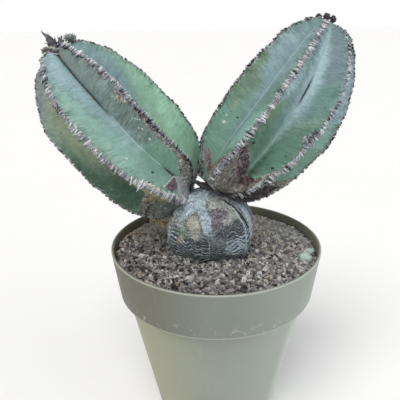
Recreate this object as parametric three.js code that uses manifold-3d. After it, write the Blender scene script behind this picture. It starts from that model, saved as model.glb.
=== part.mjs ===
// Potted bishop's cap cactus: two six-ribbed heads on an old corky stump, in a plain pot of lava grit.
// Millimetres, +Z up. The origin is the centre of the pot's foot, and the front of the plant faces -Y.

import * as THREE from 'three';
import { mergeVertices } from 'three/addons/utils/BufferGeometryUtils.js';
import Module from 'manifold-3d';

const wasm = await Module();
wasm.setup();

// Driving dimensions

const seatGap = 0.3;
// What sits on a tip is cut to a head grown by this much, which stands less clear where the head slants.
const tipGrowth = 0.45;

const pot = {
  height: 165,
  rimRadius: 90,
  rimRounding: 0.7,
  bandHeight: 41,
  bandFootRadius: 84.5,
  bodyTopRadius: 79,
  footRadius: 54,
  footRounding: 2,
  wall: 2.2,
  floor: 3.5,
  sides: 48,
  drainHoles: 8,
  drainSides: 12,
  drainRadius: 5,
  drainCircle: 37,
  channelDepth: 1.2,
  channelWidth: 6,
};

const soil = {
  surface: 157,
  grainStep: 5,
  grainHeight: 2.6,
  grainShift: 2,
  sideCount: 40,
  seed: 7,
};

// Each stump level is a height with the mean radius of the stem there.
const stump = {
  centre: [-4, 5],
  ribTurn: -6,
  ribDepth: 0.09,
  ribStart: 150,
  ribFull: 160,
  columnsPerRib: 6,
  rootTip: 114,
  top: 210.5,
  levels: [
    [117, 5], [124, 11], [134, 18], [146, 24.5], [157, 29.5], [165, 34.5], [174, 38], [183, 38.5],
    [191, 35.5], [198, 30.5], [204, 23.5], [208, 15],
  ],
};

// A head grows from base to tip round a slightly bent axis. A station along it runs from 0 to 1. The crest
// radius swells from the neck to the widest station and closes at the tip, each end on a superellipse with
// the exponents given. The base is twisted by some degrees, which fade out at twistEnd. Each rib has its
// azimuth in degrees, counted from the front to the right, and its reach, as a share of the crest radius.
// Both are those at mid length, and drift and taper say how much they change from base to tip. The valley is
// the reach of the groove after the rib.
const leftHead = {
  base: [-26.5, 12, 197],
  tip: [-130.5, 27, 324],
  bend: [-1.5, -1.5],
  radius: 49,
  neckRadius: 12,
  widest: 0.51,
  lowerCurve: [2.25, 2.3],
  upperCurve: [2.45, 2.1],
  twist: 26,
  twistEnd: 0.45,
  seed: 11,
  ribs: [
    { azimuth: -90, drift: 2, reach: 1.05, taper: 0.12, valley: 0.6 },
    { azimuth: -30, drift: -11, reach: 1.06, taper: 0.04, valley: 0.62 },
    { azimuth: 29, drift: -10, reach: 0.83, taper: 0, valley: 0.6 },
    { azimuth: 90, drift: -8, reach: 0.93, taper: -0.2, valley: 0.6 },
    { azimuth: 150, drift: -3, reach: 1, taper: -0.05, valley: 0.58 },
    { azimuth: 210, drift: 0, reach: 1.02, taper: 0, valley: 0.6 },
  ],
};

const rightHead = {
  base: [8, 8, 206],
  tip: [89.5, 31, 343],
  bend: [6.5, 1.5],
  radius: 48.5,
  neckRadius: 12,
  widest: 0.5,
  lowerCurve: [2.3, 2.05],
  upperCurve: [1.75, 2.2],
  twist: -8,
  twistEnd: 0.49,
  seed: 23,
  ribs: [
    { azimuth: -72, drift: 27, reach: 0.96, taper: -0.25, valley: 0.66 },
    { azimuth: -11, drift: 3, reach: 0.91, taper: -0.5, valley: 0.51 },
    { azimuth: 39, drift: 9, reach: 0.98, taper: 0.22, valley: 0.6 },
    { azimuth: 93, drift: -17, reach: 0.965, taper: 0.24, valley: 0.6 },
    { azimuth: 157, drift: -8, reach: 1, taper: 0.05, valley: 0.58 },
    { azimuth: 222, drift: 8, reach: 1, taper: -0.05, valley: 0.6 },
  ],
};

// The rib azimuths are counted from the side of the head that faces this point.
const frontPoint = [0, -368, 342];

const head = {
  stations: 20,
  capDepth: 8,
  capShare: 0.05,
  capStations: 3,
  faceSteps: [0.34, 0.7],
  faceBulge: 0.05,
  baseFade: 0.14,
  baseValley: 0.82,
};

// Areoles stand edge to edge in one row on each crest, a peak each with a dip before the next.
const areole = {
  perRib: 34,
  first: 0.02,
  last: 0.985,
  height: 1.4,
  dip: 0.3,
  halfWidth: 2.6,
  dipHalfWidth: 1.8,
  edgeDrop: 0.9,
  narrowing: 0.16,
  sizeSpread: 0.35,
  traceSteps: 160,
};

// What flowering left on the tips. Each piece stands at an offset from its head's tip. A bunch has spikes,
// each given by the offset of its point from the bunch's foot, its radius and its sideways bow.
const driedFlower = {
  at: [-1, 0, 1],
  knob: [3.4, 3.2, 3.4],
  seed: 3,
  spikes: [
    { point: [-7.5, -1, 14], radius: 3, bow: 0.8 },
    { point: [-2.5, -3, 9], radius: 1.8, bow: 0 },
    { point: [1.5, 1, 7], radius: 1.5, bow: 0 },
    { point: [-6.5, 2, 6], radius: 1.6, bow: 0 },
  ],
};

const driedTuft = {
  at: [5, 0, 5],
  knob: [2.2, 2, 2.4],
  seed: 4,
  spikes: [
    { point: [-2, -1, 6.5], radius: 1.2, bow: 0 },
    { point: [0.5, 1, 6.5], radius: 1.1, bow: 0 },
    { point: [2.5, -1, 5], radius: 1.1, bow: 0 },
  ],
};

const driedScales = {
  at: [-6.6, -1, -3],
  knob: [3, 2.6, 2.4],
  seed: 6,
  spikes: [
    { point: [-5, -1, 1.5], radius: 1.5, bow: 0 },
    { point: [-3, -2, 4.5], radius: 1.4, bow: 0 },
    { point: [-4, 2, -1], radius: 1.4, bow: 0 },
  ],
};

const spikeShape = { sides: 6, stations: [0, 0.15, 0.5, 0.85], widths: [0.7, 1, 0.75, 0.25] };

const woollyFruit = { at: [13.5, 0, 9.5], half: [4.2, 3.6, 4.2], roughness: 0.35, seed: 31 };

const driedBuds = [
  { at: [-7.5, 0, 3.5], half: [2.5, 2.4, 3.6], roughness: 0.2, seed: 41 },
  { at: [-1.2, 0, 4.2], half: [2.6, 2.5, 4], roughness: 0.2, seed: 42 },
  { at: [3.9, 0, 2.2], half: [2.4, 2.3, 3.6], roughness: 0.2, seed: 43 },
];

// Stone chips lying half sunk in the grit, each at its own place in the pot.
const stones = {
  stone_chip_large: { at: [73.5, -25, 159], half: [5.6, 4.6, 5.4], roughness: 0.4, seed: 5 },
  stone_chip_small: { at: [80, -9, 158.5], half: [3.8, 3, 3], roughness: 0.4, seed: 9 },
};

const finishes = {
  pot: { color: 0x8f9a87, roughness: 0.5 },
  grit: { color: 0x82756f, roughness: 0.95 },
  oldStem: { color: 0x5f6a70, roughness: 0.8 },
  leftStem: { color: 0x7ea593, roughness: 0.6 },
  rightStem: { color: 0x78a091, roughness: 0.6 },
  driedFlower: { color: 0x51484c, roughness: 0.9 },
  fruitWool: { color: 0x9d9893, roughness: 1 },
  stoneChip: { color: 0xb9c9c2, roughness: 0.85 },
};

// Vectors, random numbers and closed bodies

const vector = ([x, y, z]) => new THREE.Vector3(x, y, z);
const radians = THREE.MathUtils.degToRad;
const clamp01 = (value) => THREE.MathUtils.clamp(value, 0, 1);

function seededRandom(seed) {
  const multiplier = 1664525;
  const increment = 1013904223;
  const range = 2 ** 32;
  let state = seed;
  return () => {
    state = (state * multiplier + increment) % range;
    return state / range;
  };
}

function surface(positions, triangles) {
  const geometry = new THREE.BufferGeometry();
  geometry.setAttribute('position', new THREE.Float32BufferAttribute(positions, 3));
  geometry.setIndex(triangles);
  return geometry;
}

// A skin closes a stack of rings, first to last, each running anticlockwise seen from the last ring's side.
// Rings may have different counts of points, and a ring of one point closes an end.
function skin(rings) {
  const positions = [];
  const indexed = rings.map((ring) => ring.map((point) => {
    positions.push(point.x, point.y, point.z);
    return positions.length / 3 - 1;
  }));
  const triangles = [];
  for (let level = 0; level + 1 < indexed.length; level += 1) {
    stitchRings(triangles, indexed[level], indexed[level + 1]);
  }
  return surface(positions, triangles);
}

function stitchRings(triangles, lower, upper) {
  const lowerSteps = lower.length > 1 ? lower.length : 0;
  const upperSteps = upper.length > 1 ? upper.length : 0;
  let i = 0;
  let j = 0;
  while (i < lowerSteps || j < upperSteps) {
    const lowerNext = (i + 1) / lower.length;
    const upperNext = (j + 1) / upper.length;
    const from = lower[i % lower.length];
    const across = upper[j % upper.length];
    if (j >= upperSteps || (i < lowerSteps && lowerNext <= upperNext)) {
      i += 1;
      triangles.push(from, lower[i % lower.length], across);
    } else {
      j += 1;
      triangles.push(from, upper[j % upper.length], across);
    }
  }
}

// A peel closes a round of meridians, which all run from one pole to the other, in anticlockwise order seen
// from the last pole. Each is a list of stations with their points, and may have its own count of them.
function peel(meridians) {
  const positions = [];
  const indexed = meridians.map((meridian) => meridian.map(({ s, point }, i) => {
    if (i === 0 && positions.length > 0) return { s, index: 0 };
    if (i === meridian.length - 1 && positions.length > 3 * meridians[0].length - 3) {
      return { s, index: meridians[0].length - 1 };
    }
    positions.push(point.x, point.y, point.z);
    return { s, index: positions.length / 3 - 1 };
  }));
  const triangles = [];
  indexed.forEach((meridian, k) => stitchMeridians(triangles, meridian, indexed[(k + 1) % indexed.length]));
  return surface(positions, triangles);
}

function stitchMeridians(triangles, left, right) {
  const add = (a, b, c) => {
    if (a !== b && b !== c && c !== a) triangles.push(a, b, c);
  };
  let i = 0;
  let j = 0;
  while (i + 1 < left.length || j + 1 < right.length) {
    const leftNext = i + 1 < left.length ? left[i + 1].s : Infinity;
    const rightNext = j + 1 < right.length ? right[j + 1].s : Infinity;
    if (leftNext <= rightNext) {
      add(left[i].index, right[j].index, left[i + 1].index);
      i += 1;
    } else {
      add(left[i].index, right[j].index, right[j + 1].index);
      j += 1;
    }
  }
}

function circle(count, radius, height) {
  return Array.from({ length: count }, (_, i) => {
    const angle = (2 * Math.PI * i) / count;
    return new THREE.Vector3(radius * Math.cos(angle), radius * Math.sin(angle), height);
  });
}

function solid(geometry) {
  geometry.deleteAttribute('normal');
  geometry.deleteAttribute('uv');
  const merged = mergeVertices(geometry);
  return new wasm.Manifold(new wasm.Mesh({
    numProp: 3,
    vertProperties: new Float32Array(merged.attributes.position.array),
    triVerts: new Uint32Array(merged.index.array),
  }));
}

function mesh(name, body, finish) {
  const result = body.getMesh();
  const geometry = new THREE.BufferGeometry();
  geometry.setAttribute('position', new THREE.Float32BufferAttribute(result.vertProperties, 3));
  geometry.setIndex([...result.triVerts]);
  geometry.computeVertexNormals();
  const piece = new THREE.Mesh(geometry, new THREE.MeshStandardMaterial({ ...finish, metalness: 0 }));
  piece.name = name;
  return piece;
}

// Pot

function potWallRadius(height, inset) {
  const bandFoot = pot.height - pot.bandHeight;
  const along = (low, high, share) => low + (high - low) * share;
  const outer = height > bandFoot
    ? along(pot.bandFootRadius, pot.rimRadius, (height - bandFoot) / pot.bandHeight)
    : along(pot.footRadius, pot.bodyTopRadius, height / bandFoot);
  return outer - inset;
}

function potBody() {
  const bandFoot = pot.height - pot.bandHeight;
  const shelf = bandFoot + pot.wall;
  const rim = pot.height - pot.rimRounding;
  const profile = [
    [0, 0],
    [pot.footRadius - pot.footRounding, 0],
    [potWallRadius(pot.footRounding, 0), pot.footRounding],
    [pot.bodyTopRadius, bandFoot],
    [pot.bandFootRadius, bandFoot],
    [potWallRadius(rim, 0), rim],
    [pot.rimRadius - pot.rimRounding, pot.height],
    [pot.rimRadius - pot.wall, pot.height],
    [potWallRadius(shelf, pot.wall), shelf],
    [pot.bodyTopRadius - pot.wall, shelf],
    [potWallRadius(pot.floor, pot.wall), pot.floor],
    [0, pot.floor],
  ].map(([radius, height]) => new THREE.Vector2(radius, height));
  let body = solid(new THREE.LatheGeometry(profile, pot.sides).rotateX(Math.PI / 2));
  for (let i = 0; i < pot.drainHoles; i += 1) {
    const turn = (2 * Math.PI * i) / pot.drainHoles;
    body = body.subtract(drainHole(turn)).subtract(drainChannel(turn));
  }
  return body;
}

function drainHole(turn) {
  const hole = new THREE.CylinderGeometry(pot.drainRadius, pot.drainRadius, 4 * pot.floor, pot.drainSides);
  return solid(hole.rotateX(Math.PI / 2).translate(pot.drainCircle, 0, 0).rotateZ(turn));
}

function drainChannel(turn) {
  const length = pot.footRadius;
  const channel = new THREE.BoxGeometry(length, pot.channelWidth, 2 * pot.channelDepth);
  return solid(channel.translate(pot.drainCircle + length / 2, 0, 0).rotateZ(turn));
}

// Stump, old and corky, with six low ribs that fade out on its buried root end

function stumpBody(grow) {
  const [x, y] = stump.centre;
  const rings = stump.levels.map(([height, radius]) => {
    const fade = clamp01((height - stump.ribStart) / (stump.ribFull - stump.ribStart));
    return circle(6 * stump.columnsPerRib, 1, height).map((point) => {
      const azimuth = Math.atan2(point.x, -point.y) - radians(stump.ribTurn);
      const groove = stump.ribDepth * fade * (1 - Math.abs(Math.cos(3 * azimuth)));
      const reach = radius * (1 - groove) + grow;
      return new THREE.Vector3(x + reach * point.x, y + reach * point.y, height);
    });
  });
  rings.unshift([new THREE.Vector3(x, y, stump.rootTip - grow)]);
  rings.push([new THREE.Vector3(x, y, stump.top + grow)]);
  return solid(skin(rings));
}

// Heads

function headFrame(plan) {
  const base = vector(plan.base);
  const tip = vector(plan.tip);
  const axis = tip.clone().sub(base).normalize();
  const front = vector(frontPoint).sub(base.clone().add(tip).multiplyScalar(0.5));
  front.addScaledVector(axis, -front.dot(axis)).normalize();
  const right = front.clone().cross(axis).negate();
  return { base, tip, axis, front, right };
}

function headRadius(plan, s) {
  if (s < plan.widest) {
    const below = clamp01((plan.widest - s) / plan.widest);
    const swell = (1 - below ** plan.lowerCurve[0]) ** (1 / plan.lowerCurve[1]);
    return plan.neckRadius + (plan.radius - plan.neckRadius) * swell;
  }
  const above = clamp01((s - plan.widest) / (1 - plan.widest));
  return plan.radius * (1 - above ** plan.upperCurve[0]) ** (1 / plan.upperCurve[1]);
}

// The middle of the cross-section at station s, and its crest radius. Below zero the base closes in a cap.
function headSection(plan, frame, s) {
  const share = clamp01(-s / head.capShare);
  const bow = 4 * Math.max(s, 0) * (1 - s);
  const centre = frame.base.clone().lerp(frame.tip, Math.max(s, 0))
    .addScaledVector(frame.right, bow * plan.bend[0])
    .addScaledVector(frame.front, bow * plan.bend[1])
    .addScaledVector(frame.axis, -head.capDepth * share);
  const radius = s < 0 ? plan.neckRadius * Math.sqrt(1 - share ** 2) : headRadius(plan, s);
  return { centre, radius };
}

function ribAzimuth(plan, index, s) {
  const rib = plan.ribs[index % plan.ribs.length];
  const wrap = index >= plan.ribs.length ? 360 : 0;
  const twist = plan.twist * clamp01((plan.twistEnd - s) / plan.twistEnd) ** 2;
  return radians(rib.azimuth + wrap + rib.drift * (s - 0.5) + twist);
}

function ribReach(plan, index, s) {
  const rib = plan.ribs[index % plan.ribs.length];
  return rib.reach + rib.taper * (s - 0.5);
}

const polar = (azimuth, reach) => [reach * Math.sin(azimuth), reach * Math.cos(azimuth)];

// A point of the cross-section, from its right and front distances to the axis.
function sectionPoint(frame, centre, [right, front]) {
  return centre.clone().addScaledVector(frame.right, right).addScaledVector(frame.front, front);
}

function groovePlace(plan, rib, s, radius) {
  const fade = clamp01((head.baseFade - s) / head.baseFade) ** 2;
  const valley = plan.ribs[rib].valley + (head.baseValley - plan.ribs[rib].valley) * fade;
  const reach = (valley * radius * (ribReach(plan, rib, s) + ribReach(plan, rib + 1, s))) / 2;
  return polar((ribAzimuth(plan, rib, s) + ribAzimuth(plan, rib + 1, s)) / 2, reach);
}

// A point of the face between a crest and the groove beside it, bulged outwards. Side is 1 on the crest's
// right and -1 on its left, and step runs from 0 at the crest to 1 in the groove.
function facePlace(plan, groove, rib, s, radius, side, step) {
  const crest = polar(ribAzimuth(plan, rib, s), ribReach(plan, rib, s) * radius);
  const run = [groove[0] - crest[0], groove[1] - crest[1]];
  const bulge = side * head.faceBulge * 4 * step * (1 - step);
  return [crest[0] + step * run[0] - bulge * run[1], crest[1] + step * run[1] + bulge * run[0]];
}

function crestPoint(plan, frame, rib, s) {
  const { centre, radius } = headSection(plan, frame, s);
  return sectionPoint(frame, centre, polar(ribAzimuth(plan, rib, s), ribReach(plan, rib, s) * radius));
}

// Where a rib's crest stands at station s, and which way it runs, faces and lies across.
function crestPlace(plan, frame, rib, s) {
  const step = 0.01;
  const point = crestPoint(plan, frame, rib, s);
  const after = crestPoint(plan, frame, rib, Math.min(s + step, 1));
  const along = after.sub(crestPoint(plan, frame, rib, s - step)).normalize();
  const out = point.clone().sub(headSection(plan, frame, s).centre);
  out.addScaledVector(along, -out.dot(along)).normalize();
  return { point, along, out, across: along.clone().cross(out).normalize() };
}

// Stations of one rib's areole peaks and the dips between them, spaced evenly along the crest's own length.
function areoleStations(plan, frame, rib) {
  const count = 2 * areole.perRib - 1;
  const stations = [areole.first];
  const lengths = [0];
  for (let i = 1; i <= areole.traceSteps; i += 1) {
    stations.push(areole.first + ((areole.last - areole.first) * i) / areole.traceSteps);
    const here = crestPoint(plan, frame, rib, stations[i]);
    lengths.push(lengths[i - 1] + here.distanceTo(crestPoint(plan, frame, rib, stations[i - 1])));
  }
  return Array.from({ length: count }, (_, i) => {
    const wanted = (lengths[areole.traceSteps] * i) / (count - 1);
    const next = Math.max(1, lengths.findIndex((length) => length >= wanted));
    const share = (wanted - lengths[next - 1]) / (lengths[next] - lengths[next - 1]);
    return stations[next - 1] + (stations[next] - stations[next - 1]) * share;
  });
}

// The three meridians of one crest: its left edge, its row of areole peaks and its right edge.
function crestMeridians(plan, frame, rib, stations, random, grow) {
  const left = [];
  const middle = [];
  const right = [];
  const place = (s, height, halfWidth) => {
    const { point, out, across } = crestPlace(plan, frame, rib, s);
    const { radius } = headSection(plan, frame, s);
    const width = Math.min(halfWidth, areole.narrowing * radius);
    const edge = -areole.edgeDrop * (width / areole.halfWidth) + grow;
    middle.push({ s, point: point.clone().addScaledVector(out, height + grow) });
    left.push({ s, point: point.clone().addScaledVector(out, edge).addScaledVector(across, -width) });
    right.push({ s, point: point.clone().addScaledVector(out, edge).addScaledVector(across, width) });
  };
  const rows = areoleStations(plan, frame, rib);
  stations.filter((s) => s < rows[0]).forEach((s) => place(s, 0, areole.dipHalfWidth));
  rows.forEach((s, i) => {
    const size = 1 + areole.sizeSpread * (random() - 0.5);
    if (i % 2 === 0) place(s, areole.height * size, areole.halfWidth * size);
    else place(s, -areole.dip, areole.dipHalfWidth);
  });
  return [left, middle, right];
}

// The five meridians from one crest to the next: two on each face and the groove between them.
function faceMeridians(plan, frame, rib, stations, grow) {
  const [near, far] = head.faceSteps;
  const places = [[0, 1, near], [0, 1, far], null, [1, -1, far], [1, -1, near]];
  return places.map((place) => stations.map((s) => {
    const { centre, radius } = headSection(plan, frame, s);
    const groove = groovePlace(plan, rib, s, radius);
    const flat = place ? facePlace(plan, groove, rib + place[0], s, radius, place[1], place[2]) : groove;
    const reach = Math.hypot(...flat);
    const grown = reach > 0 ? (reach + grow) / reach : 1;
    return { s, point: sectionPoint(frame, centre, [flat[0] * grown, flat[1] * grown]) };
  }));
}

function headBody(plan, grow) {
  const frame = headFrame(plan);
  const random = seededRandom(plan.seed);
  const stations = [];
  for (let i = head.capStations - 1; i > 0; i -= 1) {
    stations.push(-head.capShare * Math.sin((Math.PI / 2) * (i / head.capStations)));
  }
  for (let i = 0; i < head.stations; i += 1) stations.push((1 - Math.cos((Math.PI * i) / head.stations)) / 2);
  const foot = {
    s: -head.capShare,
    point: frame.base.clone().addScaledVector(frame.axis, -head.capDepth - 2 * grow),
  };
  const peak = { s: 1, point: frame.tip.clone().addScaledVector(frame.axis, 2 * grow) };
  const meridians = [];
  for (let rib = 0; rib < plan.ribs.length; rib += 1) {
    meridians.push(...crestMeridians(plan, frame, rib, stations, random, grow));
    meridians.push(...faceMeridians(plan, frame, rib, stations, grow));
  }
  for (const { s, point } of meridians.flat()) point.addScaledVector(frame.axis, 2 * grow * (2 * s - 1));
  return solid(peel(meridians.map((meridian) => [foot, ...meridian, peak])));
}

// Dried flowers, buds and fruit at the tips

// A spike tapers from a round foot to a point and bows a little sideways.
function spikeBody(foot, { point, radius, bow }) {
  const run = vector(point);
  const axis = run.clone().normalize();
  const side = new THREE.Vector3(0, 1, 0).cross(axis).normalize();
  const front = axis.clone().cross(side);
  const rings = spikeShape.stations.map((t, level) => (
    circle(spikeShape.sides, radius * spikeShape.widths[level], 0).map((offset) => (
      foot.clone().addScaledVector(run, t)
        .addScaledVector(side, offset.x + bow * 4 * t * (1 - t))
        .addScaledVector(front, offset.y)
    ))
  ));
  const heel = foot.clone().addScaledVector(axis, -radius / 2);
  return solid(skin([[heel], ...rings, [foot.clone().add(run)]]));
}

// A lump is a round body with its points pushed in and out at random.
function lumpBody(centre, { half, roughness, seed }, grow = 0) {
  const random = seededRandom(seed);
  const ball = new THREE.IcosahedronGeometry(1, 1);
  ball.deleteAttribute('normal');
  ball.deleteAttribute('uv');
  const lump = mergeVertices(ball);
  const places = lump.attributes.position;
  for (let i = 0; i < places.count; i += 1) {
    const push = 1 + roughness * (random() - 0.5);
    const x = centre.x + places.getX(i) * (half[0] * push + grow);
    const y = centre.y + places.getY(i) * (half[1] * push + grow);
    const z = centre.z + places.getZ(i) * (half[2] * push + grow);
    places.setXYZ(i, x, y, z);
  }
  return solid(lump);
}

// A dried bunch is a knob with spikes growing out of its middle.
function bunchBody(plan, { at, knob, seed, spikes }) {
  const foot = atTip(plan, at);
  const middle = lumpBody(foot, { half: knob, roughness: 0.2, seed });
  return spikes.reduce((joined, spike) => joined.add(spikeBody(foot, spike)), middle);
}

function atTip(plan, offset) {
  return vector(plan.tip).add(vector(offset));
}

// Soil, filling the pot, with a rough top of grit and holes for what stands in it

function soilBody(holes) {
  const random = seededRandom(soil.seed);
  const clearance = pot.wall + seatGap;
  const edge = potWallRadius(soil.surface, clearance);
  const shelf = pot.height - pot.bandHeight + pot.wall + seatGap;
  const floor = pot.floor + seatGap;
  const ringCount = Math.round(edge / soil.grainStep);
  const spread = (range) => range * (random() - 0.5);
  const grit = [];
  for (let i = ringCount; i > 0; i -= 1) {
    const inner = i < ringCount;
    grit.push(circle(6 * i, (edge * i) / ringCount, soil.surface).map((point) => {
      const shift = inner ? soil.grainShift : 0;
      const rise = inner ? soil.grainHeight : soil.grainHeight / 2;
      return point.add(new THREE.Vector3(spread(shift), spread(shift), spread(rise)));
    }));
  }
  const rings = [
    [new THREE.Vector3(0, 0, floor)],
    circle(soil.sideCount, potWallRadius(floor, clearance), floor),
    circle(soil.sideCount, pot.bodyTopRadius - clearance, shelf),
    circle(soil.sideCount, potWallRadius(shelf, clearance), shelf),
    ...grit,
    [new THREE.Vector3(0, 0, soil.surface)],
  ];
  return holes.reduce((body, hole) => body.subtract(hole), solid(skin(rings)));
}

// Assembly

const stumpRoom = stumpBody(seatGap);
const leftRoom = headBody(leftHead, tipGrowth);
const rightRoom = headBody(rightHead, tipGrowth);
const stoneRooms = Object.values(stones).map((stone) => lumpBody(vector(stone.at), stone, seatGap));

const onLeftTip = (body) => body.subtract(leftRoom);
const onRightTip = (body) => body.subtract(rightRoom);
const fruitBody = lumpBody(atTip(leftHead, woollyFruit.at), woollyFruit);

const group = new THREE.Group();
group.add(
  mesh('pot', potBody(), finishes.pot),
  mesh('soil', soilBody([stumpRoom, ...stoneRooms]), finishes.grit),
  mesh('stump', stumpBody(0), finishes.oldStem),
  mesh('head_left', headBody(leftHead, 0).subtract(stumpRoom), finishes.leftStem),
  mesh('head_right', headBody(rightHead, 0).subtract(stumpRoom), finishes.rightStem),
  mesh('dried_flower_left', onLeftTip(bunchBody(leftHead, driedFlower)), finishes.driedFlower),
  mesh('dried_tuft_left', onLeftTip(bunchBody(leftHead, driedTuft)), finishes.driedFlower),
  mesh('dried_scales_left', onLeftTip(bunchBody(leftHead, driedScales)), finishes.fruitWool),
  mesh('woolly_fruit_left', onLeftTip(fruitBody), finishes.fruitWool),
);
driedBuds.forEach((bud, i) => {
  const body = onRightTip(lumpBody(atTip(rightHead, bud.at), bud));
  group.add(mesh(`dried_bud_right_${i + 1}`, body, finishes.driedFlower));
});
for (const [name, stone] of Object.entries(stones)) {
  group.add(mesh(name, lumpBody(vector(stone.at), stone), finishes.stoneChip));
}

export default group;
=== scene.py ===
# Potted bishop's cap cactus: two six-ribbed heads on an old corky stump, in a plastic pot of lava grit

import math

import bpy
import numpy as np
from mathutils import Matrix


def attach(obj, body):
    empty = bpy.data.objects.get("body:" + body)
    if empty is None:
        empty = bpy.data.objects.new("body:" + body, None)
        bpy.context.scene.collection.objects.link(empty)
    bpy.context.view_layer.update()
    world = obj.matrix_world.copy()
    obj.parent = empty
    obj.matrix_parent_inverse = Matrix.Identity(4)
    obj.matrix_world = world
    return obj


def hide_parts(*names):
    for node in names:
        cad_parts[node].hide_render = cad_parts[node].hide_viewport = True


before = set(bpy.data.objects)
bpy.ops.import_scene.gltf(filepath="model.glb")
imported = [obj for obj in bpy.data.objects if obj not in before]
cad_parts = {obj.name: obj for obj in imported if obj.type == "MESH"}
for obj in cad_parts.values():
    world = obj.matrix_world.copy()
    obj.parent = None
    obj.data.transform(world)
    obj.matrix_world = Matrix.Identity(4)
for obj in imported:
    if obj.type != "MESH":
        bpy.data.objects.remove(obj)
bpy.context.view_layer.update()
print("stage: frame loaded,", len(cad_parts), "solids")

# Shapes are worked out in millimetres and put into Blender in metres.
metresPerMillimetre = 0.001


# Number helpers

def clamp(x, low=0.0, high=1.0):
    # x held between low and high
    return np.clip(x, low, high)


def ease(low, high, x):
    # 0 up to low, 1 from high on, and 3t^2 - 2t^3 between; it falls where high is below low
    t = clamp((x - low) / (high - low))
    return t * t * (3 - 2 * t)


def bell(x, half):
    # exp(-(x / half)^2)
    return np.exp(-(x / half) ** 2)


def unit(vectors):
    # each vector over its own length
    return vectors / np.maximum(np.linalg.norm(vectors, axis=-1, keepdims=True), 1e-9)


def cellNumber(cell, seed):
    # a number from -1 to 1 for each whole cell: its coordinates times primes, mixed by exclusive or
    primes = (73856093, 19349663, 83492791)
    mixed = cell[..., 0] * primes[0] + seed * 374761393
    mixed = mixed ^ (cell[..., 1] * primes[1]) ^ (cell[..., 2] * primes[2])
    mixed = ((mixed ^ (mixed >> 13)) * 1274126177) & 0xFFFFFFFF
    return ((mixed ^ (mixed >> 16)) & 0xFFFF) / 32767.5 - 1


def noise(points, size, seed, octaves=3, rough=0.5):
    # sum over octaves of rough^i times cell numbers blended between the corners of cells size / 2^i wide
    total, whole, weight = 0.0, 0.0, 1.0
    for octave in range(octaves):
        place = points * (2 ** octave / size)
        cell = np.floor(place).astype(np.int64)
        t = place - cell
        t = t * t * (3 - 2 * t)
        for corner in range(8):
            step = np.array([corner & 1, corner >> 1 & 1, corner >> 2 & 1])
            share = np.prod(np.where(step, t, 1 - t), axis=-1)
            total = total + weight * share * cellNumber(cell + step, seed + 31 * octave)
        whole += weight
        weight *= rough
    return total / whole


def smoothThrough(knots, values, x):
    # a cubic Hermite curve through the knots, with the slope at each from its neighbours
    knots, values = np.array(knots, float), np.array(values, float)
    slopes = np.gradient(values, knots)
    i = clamp(np.searchsorted(knots, x) - 1, 0, len(knots) - 2).astype(int)
    gap = knots[i + 1] - knots[i]
    t = clamp((x - knots[i]) / gap)
    return (
        (2 * t ** 3 - 3 * t ** 2 + 1) * values[i] + (t ** 3 - 2 * t ** 2 + t) * gap * slopes[i]
        + (3 * t ** 2 - 2 * t ** 3) * values[i + 1] + (t ** 3 - t ** 2) * gap * slopes[i + 1]
    )


def patchShare(x, y, corners, soft):
    # 1 well inside the outline, 1/2 on it and 0 well outside, by the distance to it over twice soft
    corners = np.array(corners, float)
    nearest, inside = np.full(np.shape(x), np.inf), np.zeros(np.shape(x), bool)
    for a, b in zip(corners, np.roll(corners, -1, 0)):
        run = b - a
        t = clamp(((x - a[0]) * run[0] + (y - a[1]) * run[1]) / (run @ run))
        nearest = np.minimum(nearest, np.hypot(x - a[0] - t * run[0], y - a[1] - t * run[1]))
        spans = (a[1] > y) != (b[1] > y)
        slope = run[0] / (run[1] if run[1] else 1e-9)
        inside ^= spans & (x < a[0] + (y - a[1]) * slope)
    return clamp(0.5 + np.where(inside, nearest, -nearest) / (2 * soft))


# Mesh helpers

def putPiece(name, points, faces, finish, slot, nodes=(), fields=None, smooth=True):
    # points is n by 3 in millimetres, and faces is a list of arrays of corners, each m by 3 or m by 4
    mesh = bpy.data.meshes.new(name)
    corners = np.concatenate([part.ravel() for part in faces])
    sizes = np.concatenate([np.full(len(part), part.shape[1]) for part in faces])
    places = (points.reshape(-1, 3) * metresPerMillimetre).astype(np.float32)
    mesh.vertices.add(len(places))
    mesh.vertices.foreach_set("co", places.ravel())
    mesh.loops.add(len(corners))
    mesh.loops.foreach_set("vertex_index", corners.astype(np.int32))
    mesh.polygons.add(len(sizes))
    mesh.polygons.foreach_set("loop_start", (np.cumsum(sizes) - sizes).astype(np.int32))
    mesh.polygons.foreach_set("use_smooth", np.full(len(sizes), smooth))
    for field, values in (fields or {}).items():
        layer = mesh.attributes.new(field, "FLOAT", "POINT")
        layer.data.foreach_set("value", np.asarray(values, np.float32).ravel())
    mesh.update(calc_edges=True)
    mesh.validate()
    mesh.materials.append(finish)
    piece = bpy.data.objects.new(name, mesh)
    bpy.context.scene.collection.objects.link(piece)
    if slot:
        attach(piece, "root")
    if nodes:
        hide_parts(*nodes)
    return piece


def wrapFaces(rows, columns):
    # quads of a grid closed into a tube, anticlockwise seen from its last row, and a fan of triangles to a
    # pole at each end; the first and last pole are the points after the grid's own
    start = np.arange(rows - 1)[:, None] * columns
    ring = np.arange(columns)
    turned = (ring + 1) % columns
    quads = np.stack([start + ring, start + turned, start + turned + columns, start + ring + columns], -1)
    top = (rows - 1) * columns
    firstPole, lastPole = np.full(columns, rows * columns), np.full(columns, rows * columns + 1)
    lower = np.stack([firstPole, turned, ring], -1)
    upper = np.stack([lastPole, top + ring, top + turned], -1)
    return [quads.reshape(-1, 4), np.concatenate([lower, upper])]


def withPoles(grid, firstPole, lastPole):
    # the grid's points in a row, and then its two poles
    return np.concatenate([grid.reshape(-1, grid.shape[-1]), [firstPole], [lastPole]])


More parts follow.
